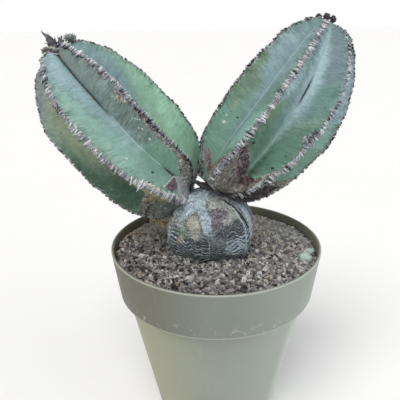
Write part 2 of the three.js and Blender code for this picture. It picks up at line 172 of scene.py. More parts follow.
def tubeNormals(grid):
    # the outward normal at each point of a grid closed into a tube: the step across times the step along
    across = np.roll(grid, -1, 1) - np.roll(grid, 1, 1)
    return unit(np.cross(across, np.gradient(grid, axis=0)))


def ballShape(rows, columns):
    # a unit ball: (cos v cos u, cos v sin u, sin v), each row turned half a column from the last
    v = np.pi * (np.arange(1, rows + 1) / (rows + 1) - 0.5)[:, None]
    u = 2 * np.pi * (np.arange(columns) + 0.5 * np.arange(rows)[:, None]) / columns
    grid = np.stack([np.cos(v) * np.cos(u), np.cos(v) * np.sin(u), np.sin(v) + 0 * u], -1)
    return withPoles(grid, [0, 0, -1], [0, 0, 1]), wrapFaces(rows, columns)


def hairShape():
    # a three-sided spike from a foot of radius 1 at z = 0 to its point at z = 1
    turn = 2 * np.pi * np.arange(3) / 3
    foot = np.stack([np.cos(turn), np.sin(turn), 0 * turn], -1)
    points = np.concatenate([foot, [[0, 0, 1]]])
    return points, [np.array([[0, 1, 3], [1, 2, 3], [2, 0, 3], [0, 2, 1]])]


def copies(shape, centres, turns, sizes, crumple=0.0, seed=0):
    # point = centre + turn . (size * shape point), for every copy; crumple moves the points in and out
    points, faces = shape
    count = len(centres)
    random = np.random.default_rng(seed)
    push = 1 + crumple * (random.random((count, len(points), 1)) - 0.5) if crumple else 1.0
    placed = centres[:, None] + np.einsum("nij,npj->npi", turns, sizes[:, None] * points * push)
    offset = (len(points) * np.arange(count))[:, None, None]
    return placed.reshape(-1, 3), [(part + offset).reshape(-1, part.shape[1]) for part in faces]


def joinParts(parts):
    # several pairs of points and faces as one
    points, faces, offset = [], [], 0
    for part, partFaces in parts:
        points.append(part)
        faces += [corners + offset for corners in partFaces]
        offset += len(part)
    return np.concatenate(points), faces


def randomTurns(count, random):
    # rotations from unit quaternions drawn evenly
    w, x, y, z = unit(random.normal(size=(count, 4))).T
    return np.stack([
        np.stack([1 - 2 * (y * y + z * z), 2 * (x * y - z * w), 2 * (x * z + y * w)], -1),
        np.stack([2 * (x * y + z * w), 1 - 2 * (x * x + z * z), 2 * (y * z - x * w)], -1),
        np.stack([2 * (x * z - y * w), 2 * (y * z + x * w), 1 - 2 * (x * x + y * y)], -1),
    ], 1)


def turnsTo(ahead, roll):
    # rotations that carry +Z to each direction ahead, rolled about it by an angle in radians
    helper = np.where(np.abs(ahead[:, 2:]) < 0.9, [[0.0, 0.0, 1.0]], [[1.0, 0.0, 0.0]])
    first = unit(np.cross(helper, ahead))
    second = np.cross(ahead, first)
    cosine, sine = np.cos(roll)[:, None], np.sin(roll)[:, None]
    return np.stack([cosine * first + sine * second, cosine * second - sine * first, ahead], -1)


# Shader helpers

def pigment(code):
    # a colour's six hexadecimal digits as the linear numbers that a shader takes
    parts = np.array([int(code[i:i + 2], 16) for i in (0, 2, 4)]) / 255
    linear = np.where(parts <= 0.04045, parts / 12.92, ((parts + 0.055) / 1.055) ** 2.4)
    return (*(float(part) for part in linear), 1.0)


class Wire:
    # a shader's number socket, on which + - * / add Math nodes

    def __init__(self, finish, socket):
        self.finish = finish
        self.socket = socket

    def math(self, operation, *others, swap=False, limit=False):
        # a Math node on this number and the others, in turned order with swap, held from 0 to 1 with limit
        values = [self, *others]
        if swap:
            values.reverse()
        settings = {"operation": operation, "use_clamp": limit}
        return self.finish.add("ShaderNodeMath", settings, dict(enumerate(values)))

    def __add__(self, other):
        return self.math("ADD", other)

    def __sub__(self, other):
        return self.math("SUBTRACT", other)

    def __mul__(self, other):
        return self.math("MULTIPLY", other)

    def __truediv__(self, other):
        return self.math("DIVIDE", other)

    def __rsub__(self, other):
        return self.math("SUBTRACT", other, swap=True)

    __radd__ = __add__
    __rmul__ = __mul__

    def most(self, other):
        return self.math("MAXIMUM", other)

    def limited(self):
        return self.math("ADD", 0.0, limit=True)

    def ease(self, low, high):
        # 0 up to low, 1 from high on, and smooth between; it falls where high is below low
        t = ((self - low) / (high - low)).limited()
        return t * t * (3 - 2 * t)


class Finish:
    # one material round a Principled BSDF

    def __init__(self, name, **constants):
        self.material = bpy.data.materials.new(name)
        self.material.use_nodes = True
        self.tree = self.material.node_tree
        self.skin = self.tree.nodes["Principled BSDF"]
        for socket, value in constants.items():
            self.skin.inputs[socket.replace("_", " ")].default_value = value
        place = self.add("ShaderNodeTexCoord", output="Object")
        self.place = self.add("ShaderNodeVectorMath", {"operation": "SCALE"}, {0: place, "Scale": 1000.0})

    def add(self, kind, settings=None, inputs=None, output=0):
        # any node: its type, its settings, set first, then its sockets' values or links
        node = self.tree.nodes.new(kind)
        for key, value in (settings or {}).items():
            if key == "stops":
                self.setStops(node.color_ramp, value)
            else:
                setattr(node, key, value)
        for key, value in (inputs or {}).items():
            self.feed(node.inputs[key], value)
        return Wire(self, node.outputs[output])

    def setStops(self, ramp, stops):
        # each stop is a place from 0 to 1 and the colour there
        while len(ramp.elements) < len(stops):
            ramp.elements.new(1.0)
        for element, (place, code) in zip(ramp.elements, stops):
            element.position = place
            element.color = pigment(code)

    def feed(self, socket, value):
        # a wire is linked, and anything else is set as the socket's own value
        if isinstance(value, Wire):
            self.tree.links.new(value.socket, socket)
        else:
            socket.default_value = value

    def field(self, name):
        # a number stored at every point of the mesh
        return self.add("ShaderNodeAttribute", {"attribute_name": name}, output="Fac")

    def speckle(self, size, detail=2.0, rough=0.5, stretch=(1, 1, 1), warp=0.0, place=None):
        # noise from 0 to 1 with lumps of this size in millimetres, drawn out along an axis by stretch
        scaled = self.add("ShaderNodeMapping", None, {
            "Vector": place or self.place, "Scale": tuple(1 / (size * part) for part in stretch),
        })
        return self.add("ShaderNodeTexNoise", None, {
            "Vector": scaled, "Scale": 1.0, "Detail": detail, "Roughness": rough, "Distortion": warp,
        }, "Fac")

    def cells(self, size):
        # the distance to the nearest of random points about this many millimetres apart, over that size
        scaled = self.add("ShaderNodeMapping", None, {"Vector": self.place, "Scale": (1 / size,) * 3})
        return self.add("ShaderNodeTexVoronoi", None, {"Vector": scaled, "Scale": 1.0}, "Distance")

    def mix(self, share, first, second):
        # first (1 - share) + second share, with the share held between 0 and 1
        colours = [pigment(part) if isinstance(part, str) else part for part in (first, second)]
        settings = {"data_type": "RGBA", "clamp_factor": True}
        return self.add("ShaderNodeMix", settings, {0: share, 6: colours[0], 7: colours[1]}, 2)

    def ramp(self, value, stops):
        # the colour at this value, blended straight between the stops
        return self.add("ShaderNodeValToRGB", {"stops": stops}, {0: value})

    def shade(self, colour, amount):
        # the colour made lighter or darker: times 1 + amount, where amount is a wire round zero
        grey = self.add("ShaderNodeCombineXYZ", None, {i: 1 + amount for i in range(3)})
        return self.add("ShaderNodeVectorMath", {"operation": "MULTIPLY"}, {0: colour, 1: grey})

    def close(self, colour, roughness, relief=None, depth=0.3):
        # links the surface; relief is a height in millimetres, shown by a Bump node
        self.feed(self.skin.inputs["Base Color"], colour)
        self.feed(self.skin.inputs["Roughness"], roughness)
        if relief is not None:
            bump = self.add("ShaderNodeBump", None, {
                "Strength": depth, "Distance": metresPerMillimetre, "Height": relief,
            })
            self.feed(self.skin.inputs["Normal"], bump)
        return self.material


# Camera, light and floor

camera = {
    "place": (0.0, -368.0, 341.7), "yaw": -0.0355, "pitch": 0.3619, "roll": -0.0135,
    "lens": 41.85, "sensor": 36.0,
}


def addCamera():
    # it looks along (sin yaw cos pitch, cos yaw cos pitch, -sin pitch), rolled about that line
    data = bpy.data.cameras.new("camera")
    data.lens = camera["lens"]
    data.sensor_width = camera["sensor"]
    eye = bpy.data.objects.new("camera", data)
    yaw, pitch, roll = camera["yaw"], camera["pitch"], camera["roll"]
    ahead = np.array([math.sin(yaw) * math.cos(pitch), math.cos(yaw) * math.cos(pitch), -math.sin(pitch)])
    level = np.array([math.cos(yaw), -math.sin(yaw), 0.0])
    upright = np.cross(level, ahead)
    right = level * math.cos(roll) + upright * math.sin(roll)
    up = upright * math.cos(roll) - level * math.sin(roll)
    turn = Matrix(np.stack([right, up, -ahead], -1).tolist()).to_4x4()
    place = Matrix.Translation([part * metresPerMillimetre for part in camera["place"]])
    eye.matrix_world = place @ turn
    bpy.context.scene.collection.objects.link(eye)
    bpy.context.scene.camera = eye


lighting = {
    "skyLow": 1.0, "skyHigh": 0.48, "skyEdge": (0.08, 0.3),
    "suns": [
        {"name": "key", "from": (-0.35, -0.7, 1.5), "spread": 0.6, "strength": 1.95, "tone": "fffdfa"},
        {"name": "side", "from": (1.5, -0.6, 0.7), "spread": 0.9, "strength": 0.65, "tone": "f6f9ff"},
    ],
    "floorHalf": 30.0,
    "floorTones": ("f1f1f1", "f4f4f4"),
}


def addLights():
    # a white studio: brightest in a low band all round, softer overhead, where the lamps do the work
    world = bpy.data.worlds.new("studio")
    world.use_nodes = True
    nodes, links = world.node_tree.nodes, world.node_tree.links
    direction = nodes.new("ShaderNodeTexCoord")
    parts = nodes.new("ShaderNodeSeparateXYZ")
    fade = nodes.new("ShaderNodeMapRange")
    fade.interpolation_type = "SMOOTHSTEP"
    fade.inputs["From Min"].default_value, fade.inputs["From Max"].default_value = lighting["skyEdge"]
    fade.inputs["To Min"].default_value = lighting["skyLow"]
    fade.inputs["To Max"].default_value = lighting["skyHigh"]
    links.new(direction.outputs["Generated"], parts.inputs[0])
    links.new(parts.outputs["Z"], fade.inputs["Value"])
    links.new(fade.outputs[0], nodes["Background"].inputs["Strength"])
    nodes["Background"].inputs["Color"].default_value = (1, 1, 1, 1)
    bpy.context.scene.world = world
    for plan in lighting["suns"]:
        data = bpy.data.lights.new(plan["name"], "SUN")
        data.angle = plan["spread"]
        data.energy = plan["strength"]
        data.color = pigment(plan["tone"])[:3]
        lamp = bpy.data.objects.new(plan["name"], data)
        away = unit(np.array(plan["from"]))[None]
        lamp.matrix_world = Matrix(turnsTo(away, np.zeros(1))[0].tolist()).to_4x4()
        bpy.context.scene.collection.objects.link(lamp)
    bpy.context.scene.view_settings.view_transform = "Standard"


def addFloor():
    # a flat square, large enough to reach the horizon
    half = lighting["floorHalf"] / metresPerMillimetre
    corners = np.array([[-half, -half, 0], [half, -half, 0], [half, half, 0], [-half, half, 0]], float)
    finish = Finish("paleFloor")
    colour = finish.mix(finish.speckle(400.0), *lighting["floorTones"])
    floor = putPiece("floor", corners, [np.array([[0, 1, 2, 3]])], finish.close(colour, 0.9), None)


addCamera()
addLights()
addFloor()
print("stage: camera, light and floor")


# Pot

pot = {
    "height": 165.0, "rimRadius": 90.0, "bandHeight": 41.0, "bandFootRadius": 84.5, "bodyTopRadius": 79.0,
    "footRadius": 54.0, "wall": 2.2, "floor": 3.5, "columns": 192, "rowStep": 3.0, "arcRows": 5,
    "drainHoles": 8, "drainRadius": 5.0, "drainCircle": 37.0, "channelDepth": 1.2, "channelWidth": 6.0,
    "waviness": 0.12, "waveSize": 60.0,
}

# The right and right-edge tones are painted light and a painted highlight; the left band and left body tones
# painted shadow and painted warm light; the edge tone painted highlights; the inside tones painted shade.
potTones = {
    "band": ("767e74", "7f877b"), "body": ("8a9288", "949b8f"), "right": "a5ada6", "rightEdgeHighlight": "d2d8d2",
    "leftBandShadow": "656152", "leftBodyLight": "9c9b82", "specks": "a5ab9e", "streaks": "aab0a4", "scuffs": "c3c8c0",
    "edgeHighlights": "b4bab0", "shadedInsideLeft": "5f5c49", "shadedInsideRight": "72705f", "lime": "9a9684",
}


def roundedProfile(corners, step, arcRows):
    # each corner (radius, height, rounding) becomes the curve (1 - t)^2 start + 2 t (1 - t) corner + t^2 end,
    # whose ends lie its rounding away along both sides; straight runs get a row every step
    places = np.array([corner[:2] for corner in corners], float)
    rows = [places[0]]
    for i in range(1, len(corners) - 1):
        before, after = unit(places[i - 1] - places[i]), unit(places[i + 1] - places[i])
        start, end = places[i] + before * corners[i][2], places[i] + after * corners[i][2]
        count = max(1, int(np.linalg.norm(start - rows[-1]) / step))
        run = np.arange(1, count + 1)[:, None] / count
        rows += list(rows[-1] + (start - rows[-1]) * run)
        t = np.arange(1, arcRows + 1)[:, None] / arcRows
        rows += list((1 - t) ** 2 * start + 2 * t * (1 - t) * places[i] + t ** 2 * end)
    count = max(1, int(np.linalg.norm(places[-1] - rows[-1]) / step))
    rows += list(rows[-1] + (places[-1] - rows[-1]) * np.arange(1, count + 1)[:, None] / count)
    return np.array(rows)


def lathe(profile, columns):
    # (r cos u, r sin u, z) for each row (r, z) of the profile
    u = 2 * np.pi * np.arange(columns) / columns
    radius, height = profile[:, :1], profile[:, 1:]
    return np.stack([radius * np.cos(u), radius * np.sin(u), height + 0 * u], -1)


def potFinish():
    # moulded plastic, lighter on the body, scuffed on the band and limed inside the rim, with painted light:
    # the right side lit, a highlight down the right edge and along the edges, shadow on the band's left, warm
    # light on the body's left and shade inside the rim
    finish = Finish("sagePlastic", Specular_IOR_Level=0.4)
    height = finish.add("ShaderNodeSeparateXYZ", None, {0: finish.place}, "Z")
    across = finish.add("ShaderNodeSeparateXYZ", None, {0: finish.place}, "X")
    bandFoot = pot["height"] - pot["bandHeight"]
    radius = finish.add("ShaderNodeVectorMath", {"operation": "LENGTH"}, {
        0: finish.add("ShaderNodeVectorMath", {"operation": "MULTIPLY"}, {0: finish.place, 1: (1, 1, 0)}),
    }, "Value")
    slope = (pot["rimRadius"] - pot["bandFootRadius"]) / pot["bandHeight"]
    inner = pot["bandFootRadius"] - pot["wall"]
    inside = (radius - (height - bandFoot) * slope).ease(inner + 1.6, inner + 0.9)
    inside = inside * height.ease(bandFoot, bandFoot + 3)
    colour = finish.mix(finish.speckle(38.0, 3.0), *potTones["band"])
    body = height.ease(bandFoot, bandFoot - 6)
    colour = finish.mix(body * 0.85, colour, finish.mix(finish.speckle(45.0, 2.0), *potTones["body"]))
    # painted light: the right side made lighter, as lit from the right, and a painted highlight down the
    # right edge
    colour = finish.mix(across.ease(0, 80) * (0.5 + body * 0.25), colour, potTones["right"])
    rightEdgeHighlight = (across / radius).ease(0.72, 1.0) * (0.12 + body * 0.5)
    colour = finish.mix(rightEdgeHighlight, colour, potTones["rightEdgeHighlight"])
    # the left side: painted shadow on the band and painted warm light on the body
    left = finish.mix(body, potTones["leftBandShadow"], potTones["leftBodyLight"])
    colour = finish.mix(across.ease(5, -62) * 0.85, colour, left)
    colour = finish.mix(finish.speckle(0.9, 1.0).ease(0.66, 0.78) * 0.22, colour, potTones["specks"])
    streaks = finish.speckle(2.6, 2.0, stretch=(1, 1, 14)).ease(0.6, 0.82)
    colour = finish.mix(streaks * 0.18, colour, potTones["streaks"])
    rub = height.ease(bandFoot + 15, bandFoot + 2) * height.ease(bandFoot - 1, bandFoot)
    scuffs = finish.speckle(7.0, 4.0, 0.7, warp=1.2).ease(0.57, 0.65) * rub
    colour = finish.mix(scuffs * 0.6, colour, potTones["scuffs"])
    # painted highlights: a pale line along the band's foot and round the rim's top edge
    edge = (height - bandFoot).ease(-0.6, 0.1) * (height - bandFoot).ease(1.5, 0.7)
    rim = height.ease(pot["height"] - 1.6, pot["height"] - 0.5)
    colour = finish.mix(edge.most(rim) * 0.6, colour, potTones["edgeHighlights"])
    # painted shade on the inner wall above the grit, lighter to the right
    insideShade = finish.mix(across.ease(-20, 50), potTones["shadedInsideLeft"], potTones["shadedInsideRight"])
    colour = finish.mix(inside * 0.85, colour, insideShade)
    lime = finish.speckle(4.0, 4.0, 0.7).ease(0.5, 0.7) * inside
    colour = finish.mix(lime * 0.4, colour, potTones["lime"])
    roughness = 0.46 + finish.speckle(9.0, 3.0) * 0.16 + scuffs * 0.2
    relief = finish.speckle(0.5, 2.0) * 0.10 + finish.speckle(6.0, 2.0) * 0.12
    return finish.close(colour, roughness, relief, 0.35)


def cutDrainage(piece):
    # eight round holes through the floor, and a channel under the floor from each outwards
    turns = 2 * np.pi * np.arange(pot["drainHoles"]) / pot["drainHoles"]
    deep = 4 * pot["floor"]
    hole = lathe(np.array([[pot["drainRadius"], -deep], [pot["drainRadius"], deep]]), 40)
    holeShape = (withPoles(hole, [0, 0, -deep], [0, 0, deep]) + [pot["drainCircle"], 0, 0], wrapFaces(2, 40))
    u = np.pi / 4 + np.pi / 2 * np.arange(4)
    square = np.stack([np.cos(u), np.sin(u)], -1) * math.sqrt(0.5)
    ends = np.array([-pot["channelDepth"], pot["channelDepth"]])[:, None] + np.zeros(4)
    flat = np.broadcast_to(square * [pot["footRadius"], pot["channelWidth"]], (2, 4, 2))
    box = np.concatenate([flat, ends[..., None]], -1)
    middle = [pot["drainCircle"] + pot["footRadius"] / 2, 0, 0]
    low, high = [0, 0, -pot["channelDepth"]], [0, 0, pot["channelDepth"]]
    channelShape = (withPoles(box, low, high) + middle, wrapFaces(2, 4))
    spin = np.stack([
        np.stack([np.cos(turns), -np.sin(turns), 0 * turns], -1),
        np.stack([np.sin(turns), np.cos(turns), 0 * turns], -1),
        np.stack([0 * turns, 0 * turns, 1 + 0 * turns], -1),
    ], 1)
    still, same = np.zeros((len(turns), 3)), np.ones((len(turns), 3))
    cutters = []
    for shape in (holeShape, channelShape):
        points, faces = copies(shape, still, spin, same)
        cutter = putPiece("cutter", points, faces, piece.data.materials[0], None)
        cutters.append(cutter)
        step = piece.modifiers.new("drainage", "BOOLEAN")
        step.object = cutter
        step.operation = "DIFFERENCE"
        step.solver = "MANIFOLD"
    bpy.context.view_layer.update()
    shown = piece.evaluated_get(bpy.context.evaluated_depsgraph_get())
    piece.data = bpy.data.meshes.new_from_object(shown)
    piece.modifiers.clear()
    for cutter in cutters:
        bpy.data.objects.remove(cutter)


def addPot():
    # one closed profile, up the outside and down the inside, turned round and then pierced
    top, wall, foot = pot["height"], pot["wall"], pot["height"] - pot["bandHeight"]
    slope = (pot["rimRadius"] - pot["bandFootRadius"]) / pot["bandHeight"]
    bodySlope = (pot["bodyTopRadius"] - pot["footRadius"]) / foot
    inner = pot["bandFootRadius"] - wall + slope * wall
    corners = [
        (0.5, 0, 0), (pot["footRadius"], 0, 2.0), (pot["bodyTopRadius"], foot, 0.6),
        (pot["bandFootRadius"], foot, 0.7), (pot["rimRadius"], top, 0.8), (pot["rimRadius"] - wall, top, 0.7),
        (inner, foot + wall, 0.6), (pot["bodyTopRadius"] - wall, foot + wall, 0.6),
        (pot["footRadius"] - wall + bodySlope * pot["floor"], pot["floor"], 1.0), (0.5, pot["floor"], 0),
    ]
    profile = roundedProfile(corners, pot["rowStep"], pot["arcRows"])
    grid = lathe(profile, pot["columns"])
    swell = noise(grid * [1, 1, 0.4], pot["waveSize"], 3, 2)[..., None] * ease(20, 60, grid[..., 2:])
    grid = grid + unit(grid * [1, 1, 0]) * swell * pot["waviness"]
    points = withPoles(grid, [0, 0, 0], [0, 0, pot["floor"]])
    piece = putPiece("plasticPot", points, wrapFaces(*grid.shape[:2]), potFinish(), "pot", ["pot"])
    cutDrainage(piece)


addPot()
print("stage: pot")


# Grit

grit = {
    "surface": 156.6, "roll": 1.04, "rollSize": 26.0, "ripple": 0.5, "rippleSize": 6.0,
    "rings": 46, "columns": 150, "gap": 0.35,
    "spacing": 1.62, "gridHalf": 60, "jitter": 1.1, "smallest": 0.85, "largest": 2.1, "crumple": 0.75,
    "sink": 0.15, "seed": 12, "coarseShare": 0.06, "coarseSize": 1.55, "stumpRoom": 29.5, "warmShare": 0.05,
}

gritTones = {
    "grey": [(0.0, "2b2b2b"), (0.25, "575656"), (0.45, "82807e"), (0.62, "9a9896"), (0.8, "b6b4b1"),
             (1.0, "d2d0cd")],
    "warm": [(0.0, "4d3c2c"), (0.5, "ab936c"), (1.0, "dccda6")],
    # the bed's tones are painted shade in the gaps between grains
    "bed": ("141313", "2e2b2a"),
}


def bedHeight(place):
    # the grit's top: the fill height plus low rolling lumps
    flat = np.concatenate([place[..., :2], 0 * place[..., :1]], -1)
    roll = grit["roll"] * noise(flat, grit["rollSize"], 5, 2)
    return grit["surface"] + roll + grit["ripple"] * noise(flat, grit["rippleSize"], 9, 2)


def wallRadius(height):
    # the pot wall's inner radius at a height in the band
    foot = pot["height"] - pot["bandHeight"]
    share = (height - foot) / pot["bandHeight"]
    return pot["bandFootRadius"] + (pot["rimRadius"] - pot["bandFootRadius"]) * share - pot["wall"]


def gritFinish(name, grains):
    # each grain's own tone, warmer by its share of warm; the bed between them is nearly black, painted shade
    # in the gaps between grains
    finish = Finish(name, Specular_IOR_Level=0.25)
    if grains:
        tone = finish.field("tone")
        grey, warm = finish.ramp(tone, gritTones["grey"]), finish.ramp(tone, gritTones["warm"])
        colour = finish.mix(finish.field("warm"), grey, warm)
    else:
        colour = finish.mix(finish.speckle(2.2, 3.0), *gritTones["bed"])
    pores = finish.cells(0.75)
    colour = finish.shade(colour, (finish.speckle(0.8, 3.0, 0.7) - 0.5) * 1.6)
    relief = pores * 0.5 + finish.speckle(0.45, 3.0, 0.7) * 0.5
    return finish.close(colour, 0.92 + finish.speckle(1.5) * 0.06, relief, 0.9)


def addGrit():
    # the bed is turned from a profile that follows the pot's inside and then the fill height to the middle
    edge = wallRadius(grit["surface"]) - grit["gap"]
    foot = pot["height"] - pot["bandHeight"] + pot["wall"] + grit["gap"]
    floor = pot["floor"] + grit["gap"]
    low = pot["footRadius"] - pot["wall"] - grit["gap"]
    body = [[1.0, floor], [low, floor], [pot["bodyTopRadius"] - pot["wall"] - grit["gap"] - 0.6, foot],
            [wallRadius(foot) - grit["gap"], foot]]
    rings = np.linspace(edge, 1.0, grit["rings"])
    profile = np.array(body + [[ring, grit["surface"]] for ring in rings])
    grid = lathe(profile, grit["columns"])
    bed = grid[len(body):]
    bed[..., 2] = bedHeight(bed)
    points = withPoles(grid, [0, 0, floor], [0, 0, grit["surface"]])
    finish = gritFinish("gritShade", False)
    putPiece("gritBed", points, wrapFaces(*grid.shape[:2]), finish, "grit", ["soil"])

    # grains on a jittered hexagonal grid, half sunk in the bed
    random = np.random.default_rng(grit["seed"])
    step = grit["spacing"]
    rows = np.arange(-grit["gridHalf"], grit["gridHalf"] + 1)
    x, y = np.meshgrid(rows * step, rows * step * math.sqrt(0.75))
    x = x + np.where(rows % 2, step / 2, 0)[:, None]
    spots = np.stack([x.ravel(), y.ravel()], -1)
    spots = spots + (random.random(spots.shape) - 0.5) * step * grit["jitter"]
    size = grit["smallest"] + (grit["largest"] - grit["smallest"]) * random.random(len(spots)) ** 1.8
    coarse = random.random(len(spots)) < grit["coarseShare"]
    size = np.where(coarse, size * grit["coarseSize"], size)
    out = np.hypot(*spots.T)
    fromStump = np.hypot(*(spots - stump["centre"]).T)
    keep = (out < edge - 0.75 * size) & (fromStump > grit["stumpRoom"])
    spots, size = spots[keep], size[keep]
    count = len(spots)
    height = bedHeight(np.concatenate([spots, np.zeros((count, 1))], -1))
    lift = height + size * (random.random(count) * 0.9 - grit["sink"])
    centres = np.concatenate([spots, lift[:, None]], -1)
    sizes = size[:, None] * (0.75 + 0.5 * random.random((count, 3)))
    points, faces = copies(ballShape(2, 5), centres, randomTurns(count, random), sizes, grit["crumple"], 4)
    perGrain = len(points) // count
    # painted light: grains behind the stump made lighter to lift them out of the shade the heads cast there;
    # grains are also lighter towards the right
    rearShadeLift = ease(0, 35, spots[:, 1])
    tone = clamp(0.45 + 0.26 * random.normal(size=count) + 0.18 * ease(10, 60, spots[:, 0]) + 0.46 * rearShadeLift)
    flat = np.concatenate([spots, np.zeros((count, 1))], -1)
    behind = ease(0, 30, spots[:, 1]) * ease(80, 20, np.abs(spots[:, 0] + 30) - 15)
    patchy = 0.35 + 0.65 * ease(-0.4, 0.3, noise(flat, 16.0, 77, 2))
    warm = behind * patchy * (0.5 + 0.5 * random.random(count))
    warm = clamp(warm + (random.random(count) < grit["warmShare"]) * 0.5)
    fields = {"tone": np.repeat(tone, perGrain), "warm": np.repeat(warm, perGrain)}
    putPiece("lavaGrains", points, faces, gritFinish("lavaGrit", True), "grit", (), fields, smooth=False)
    print("stage: grit,", count, "grains")


# Stump

stump = {
    "centre": np.array([-4.0, 5.0]), "ribTurn": -6.0, "ribDepth": 0.09, "ribStart": 150.0, "ribFull": 160.0,
    "rootTip": 114.0, "top": 210.5, "rows": 210, "columns": 312,
    "heights": [114, 117, 124, 134, 146, 157, 165, 174, 183, 191, 198, 204, 208, 210.5],
    "radii": [1, 5, 11, 18, 24.5, 29.5, 34.5, 38, 38.5, 35.5, 30.5, 23.5, 15, 2],
    "wrinkleStep": 2.9, "wrinkleDepth": 0.6, "lumps": 0.9, "sag": 0.16, "sagMost": 55.0, "seamAt": -3.0,
    "seamRound": 8.0, "degreeWidth": 0.62, "reliefStart": 154.0, "reliefFull": 160.0,
    "corners": [(46, 5.6, 22, 160), (-54, 5.6, 24, 160), (-5, 1.0, 20, 160)], "cornerFade": 26.0,
}

# The stump's tones: murk and crease are painted shade in and among the wrinkles, and ridge a painted
# highlight on them.
barkTones = {
    "base": ("454a50", "8b969a"), "pinks": "a38d98", "specks": "b9c0c0", "blots": "1a1c20",
    "murkShade": ("262c38", "4e5666"), "creaseShade": "15171b", "ridge": ("cbdae2", "a3b8b3"), "crack": "15181a",
    "seam": "b7c3c5",
}

# The stump's patches in painting order: how ragged the edge is, the share laid on, how strongly upright
# grooves comb it, and its dark and light tones
barks = {
    "green": (1.0, 0.8, 0.0, "3f5548", "8aa08c"), "pale": (1.0, 0.9, 2.4, "8298a4", "d1e1ec"),
    "plum": (1.0, 0.85, 0.0, "3a333a", "7d727a"), "dark": (1.0, 0.85, 0.0, "1b1c21", "4c4f57"),
    "tan": (1.1, 0.85, 0.0, "8c8575", "cfcab8"), "cream": (1.2, 0.8, 0.0, "6a746d", "c3cac3"),
    "band": (1.1, 0.8, 0.0, "7a919c", "cbdde8"),
}


def stumpFinish():
    # grey-blue cork under its patches, then pinks, specks, blots, painted shade in and among the wrinkles'
    # creases with painted highlights on their ridges, cracks and seams
    finish = Finish("oldCork", Specular_IOR_Level=0.3)
    fray = finish.speckle(3.4, 5.0, 0.7, warp=1.4) - 0.5
    smallFray = finish.speckle(1.5, 4.0, 0.75, warp=0.8) - 0.5
    lines = finish.field("wrinkle")
    fineMottle = finish.speckle(0.9, 4.0, 0.8) - 0.5

    base = (finish.speckle(4.0, 5.0, 0.75, warp=1.0) + smallFray * 0.5).ease(0.35, 0.65)
    colour = finish.mix(base, *barkTones["base"])
    for key, (ragged, share, combed, dark, light) in barks.items():
        here = finish.field(key)
        spread = (here + (fray * 1.5 + smallFray * 0.9) * ragged).ease(0.4, 0.62)
        tone = finish.mix((finish.speckle(1.5, 4.0, 0.75) + fray * 0.8).ease(0.3, 0.7), dark, light)
        colour = finish.mix(spread * share, colour, tone)
        if combed:
            grooves = finish.speckle(1.3, 3.0, 0.7, stretch=(3, 3, 0.8)) - 0.5
            colour = finish.shade(colour, grooves * here * combed)
    pinks = finish.speckle(1.4, 3.0, 0.6, stretch=(1, 1, 3)).ease(0.56, 0.64) * finish.field("plum")
    colour = finish.mix(pinks * 0.5, colour, barkTones["pinks"])
    specks = finish.speckle(1.1, 3.0, 0.7).ease(0.58, 0.64) * finish.speckle(5.0, 2.0).ease(0.42, 0.52)
    colour = finish.mix(specks * 0.85, colour, barkTones["specks"])
    blots = finish.speckle(1.8, 4.0, 0.75).ease(0.6, 0.66)
    colour = finish.mix(blots * 0.8, colour, barkTones["blots"])
    creased = finish.field("creased")
    # painted shade: murk darkens the deeply wrinkled parts
    murkShade = (finish.speckle(5.0, 4.0, 0.7, warp=1.0) + smallFray * 0.6).ease(0.46, 0.56)
    murkTone = finish.mix(fray.ease(-0.1, 0.1), *barkTones["murkShade"])
    colour = finish.mix(murkShade * creased * 0.65, colour, murkTone)
    broken = finish.speckle(4.2, 3.0, 0.6).ease(0.4, 0.54)
    # painted shade in the creases between wrinkles, and painted highlights on their ridges
    creaseShade = (lines + smallFray * 0.5).ease(0.42, 0.12) * creased
    colour = finish.mix(creaseShade * (broken * 0.6 + 0.3), colour, barkTones["creaseShade"])
    ridge = (lines + smallFray * 1.1).ease(0.6, 0.86) * (broken * 0.85 + 0.15) * creased
    ridge = ridge * finish.speckle(3.5, 3.0, 0.6).ease(0.3, 0.46)
    ridgeHighlightTone = finish.mix(finish.speckle(7.0, 2.0).ease(0.4, 0.6), *barkTones["ridge"])
    colour = finish.mix(ridge * 0.95, colour, ridgeHighlightTone)
    crack = (finish.field("crack") + smallFray * 1.2).ease(0.4, 0.6)
    colour = finish.mix(crack * 0.95, colour, barkTones["crack"])
    seam = (finish.field("seam") + smallFray * 1.8).ease(0.42, 0.7)
    colour = finish.mix(seam * 0.8, colour, barkTones["seam"])
    streaks = finish.speckle(2.2, 3.0, 0.6, stretch=(2.2, 2.2, 0.8)) - 0.5
    colour = finish.shade(colour, fineMottle * 0.9 + streaks * 1.4)
    relief = finish.speckle(1.3, 4.0, 0.7) * 1.2 + fray * 1.6
    return finish.close(colour, 0.6 + finish.speckle(3.0) * 0.25, relief, 0.8)


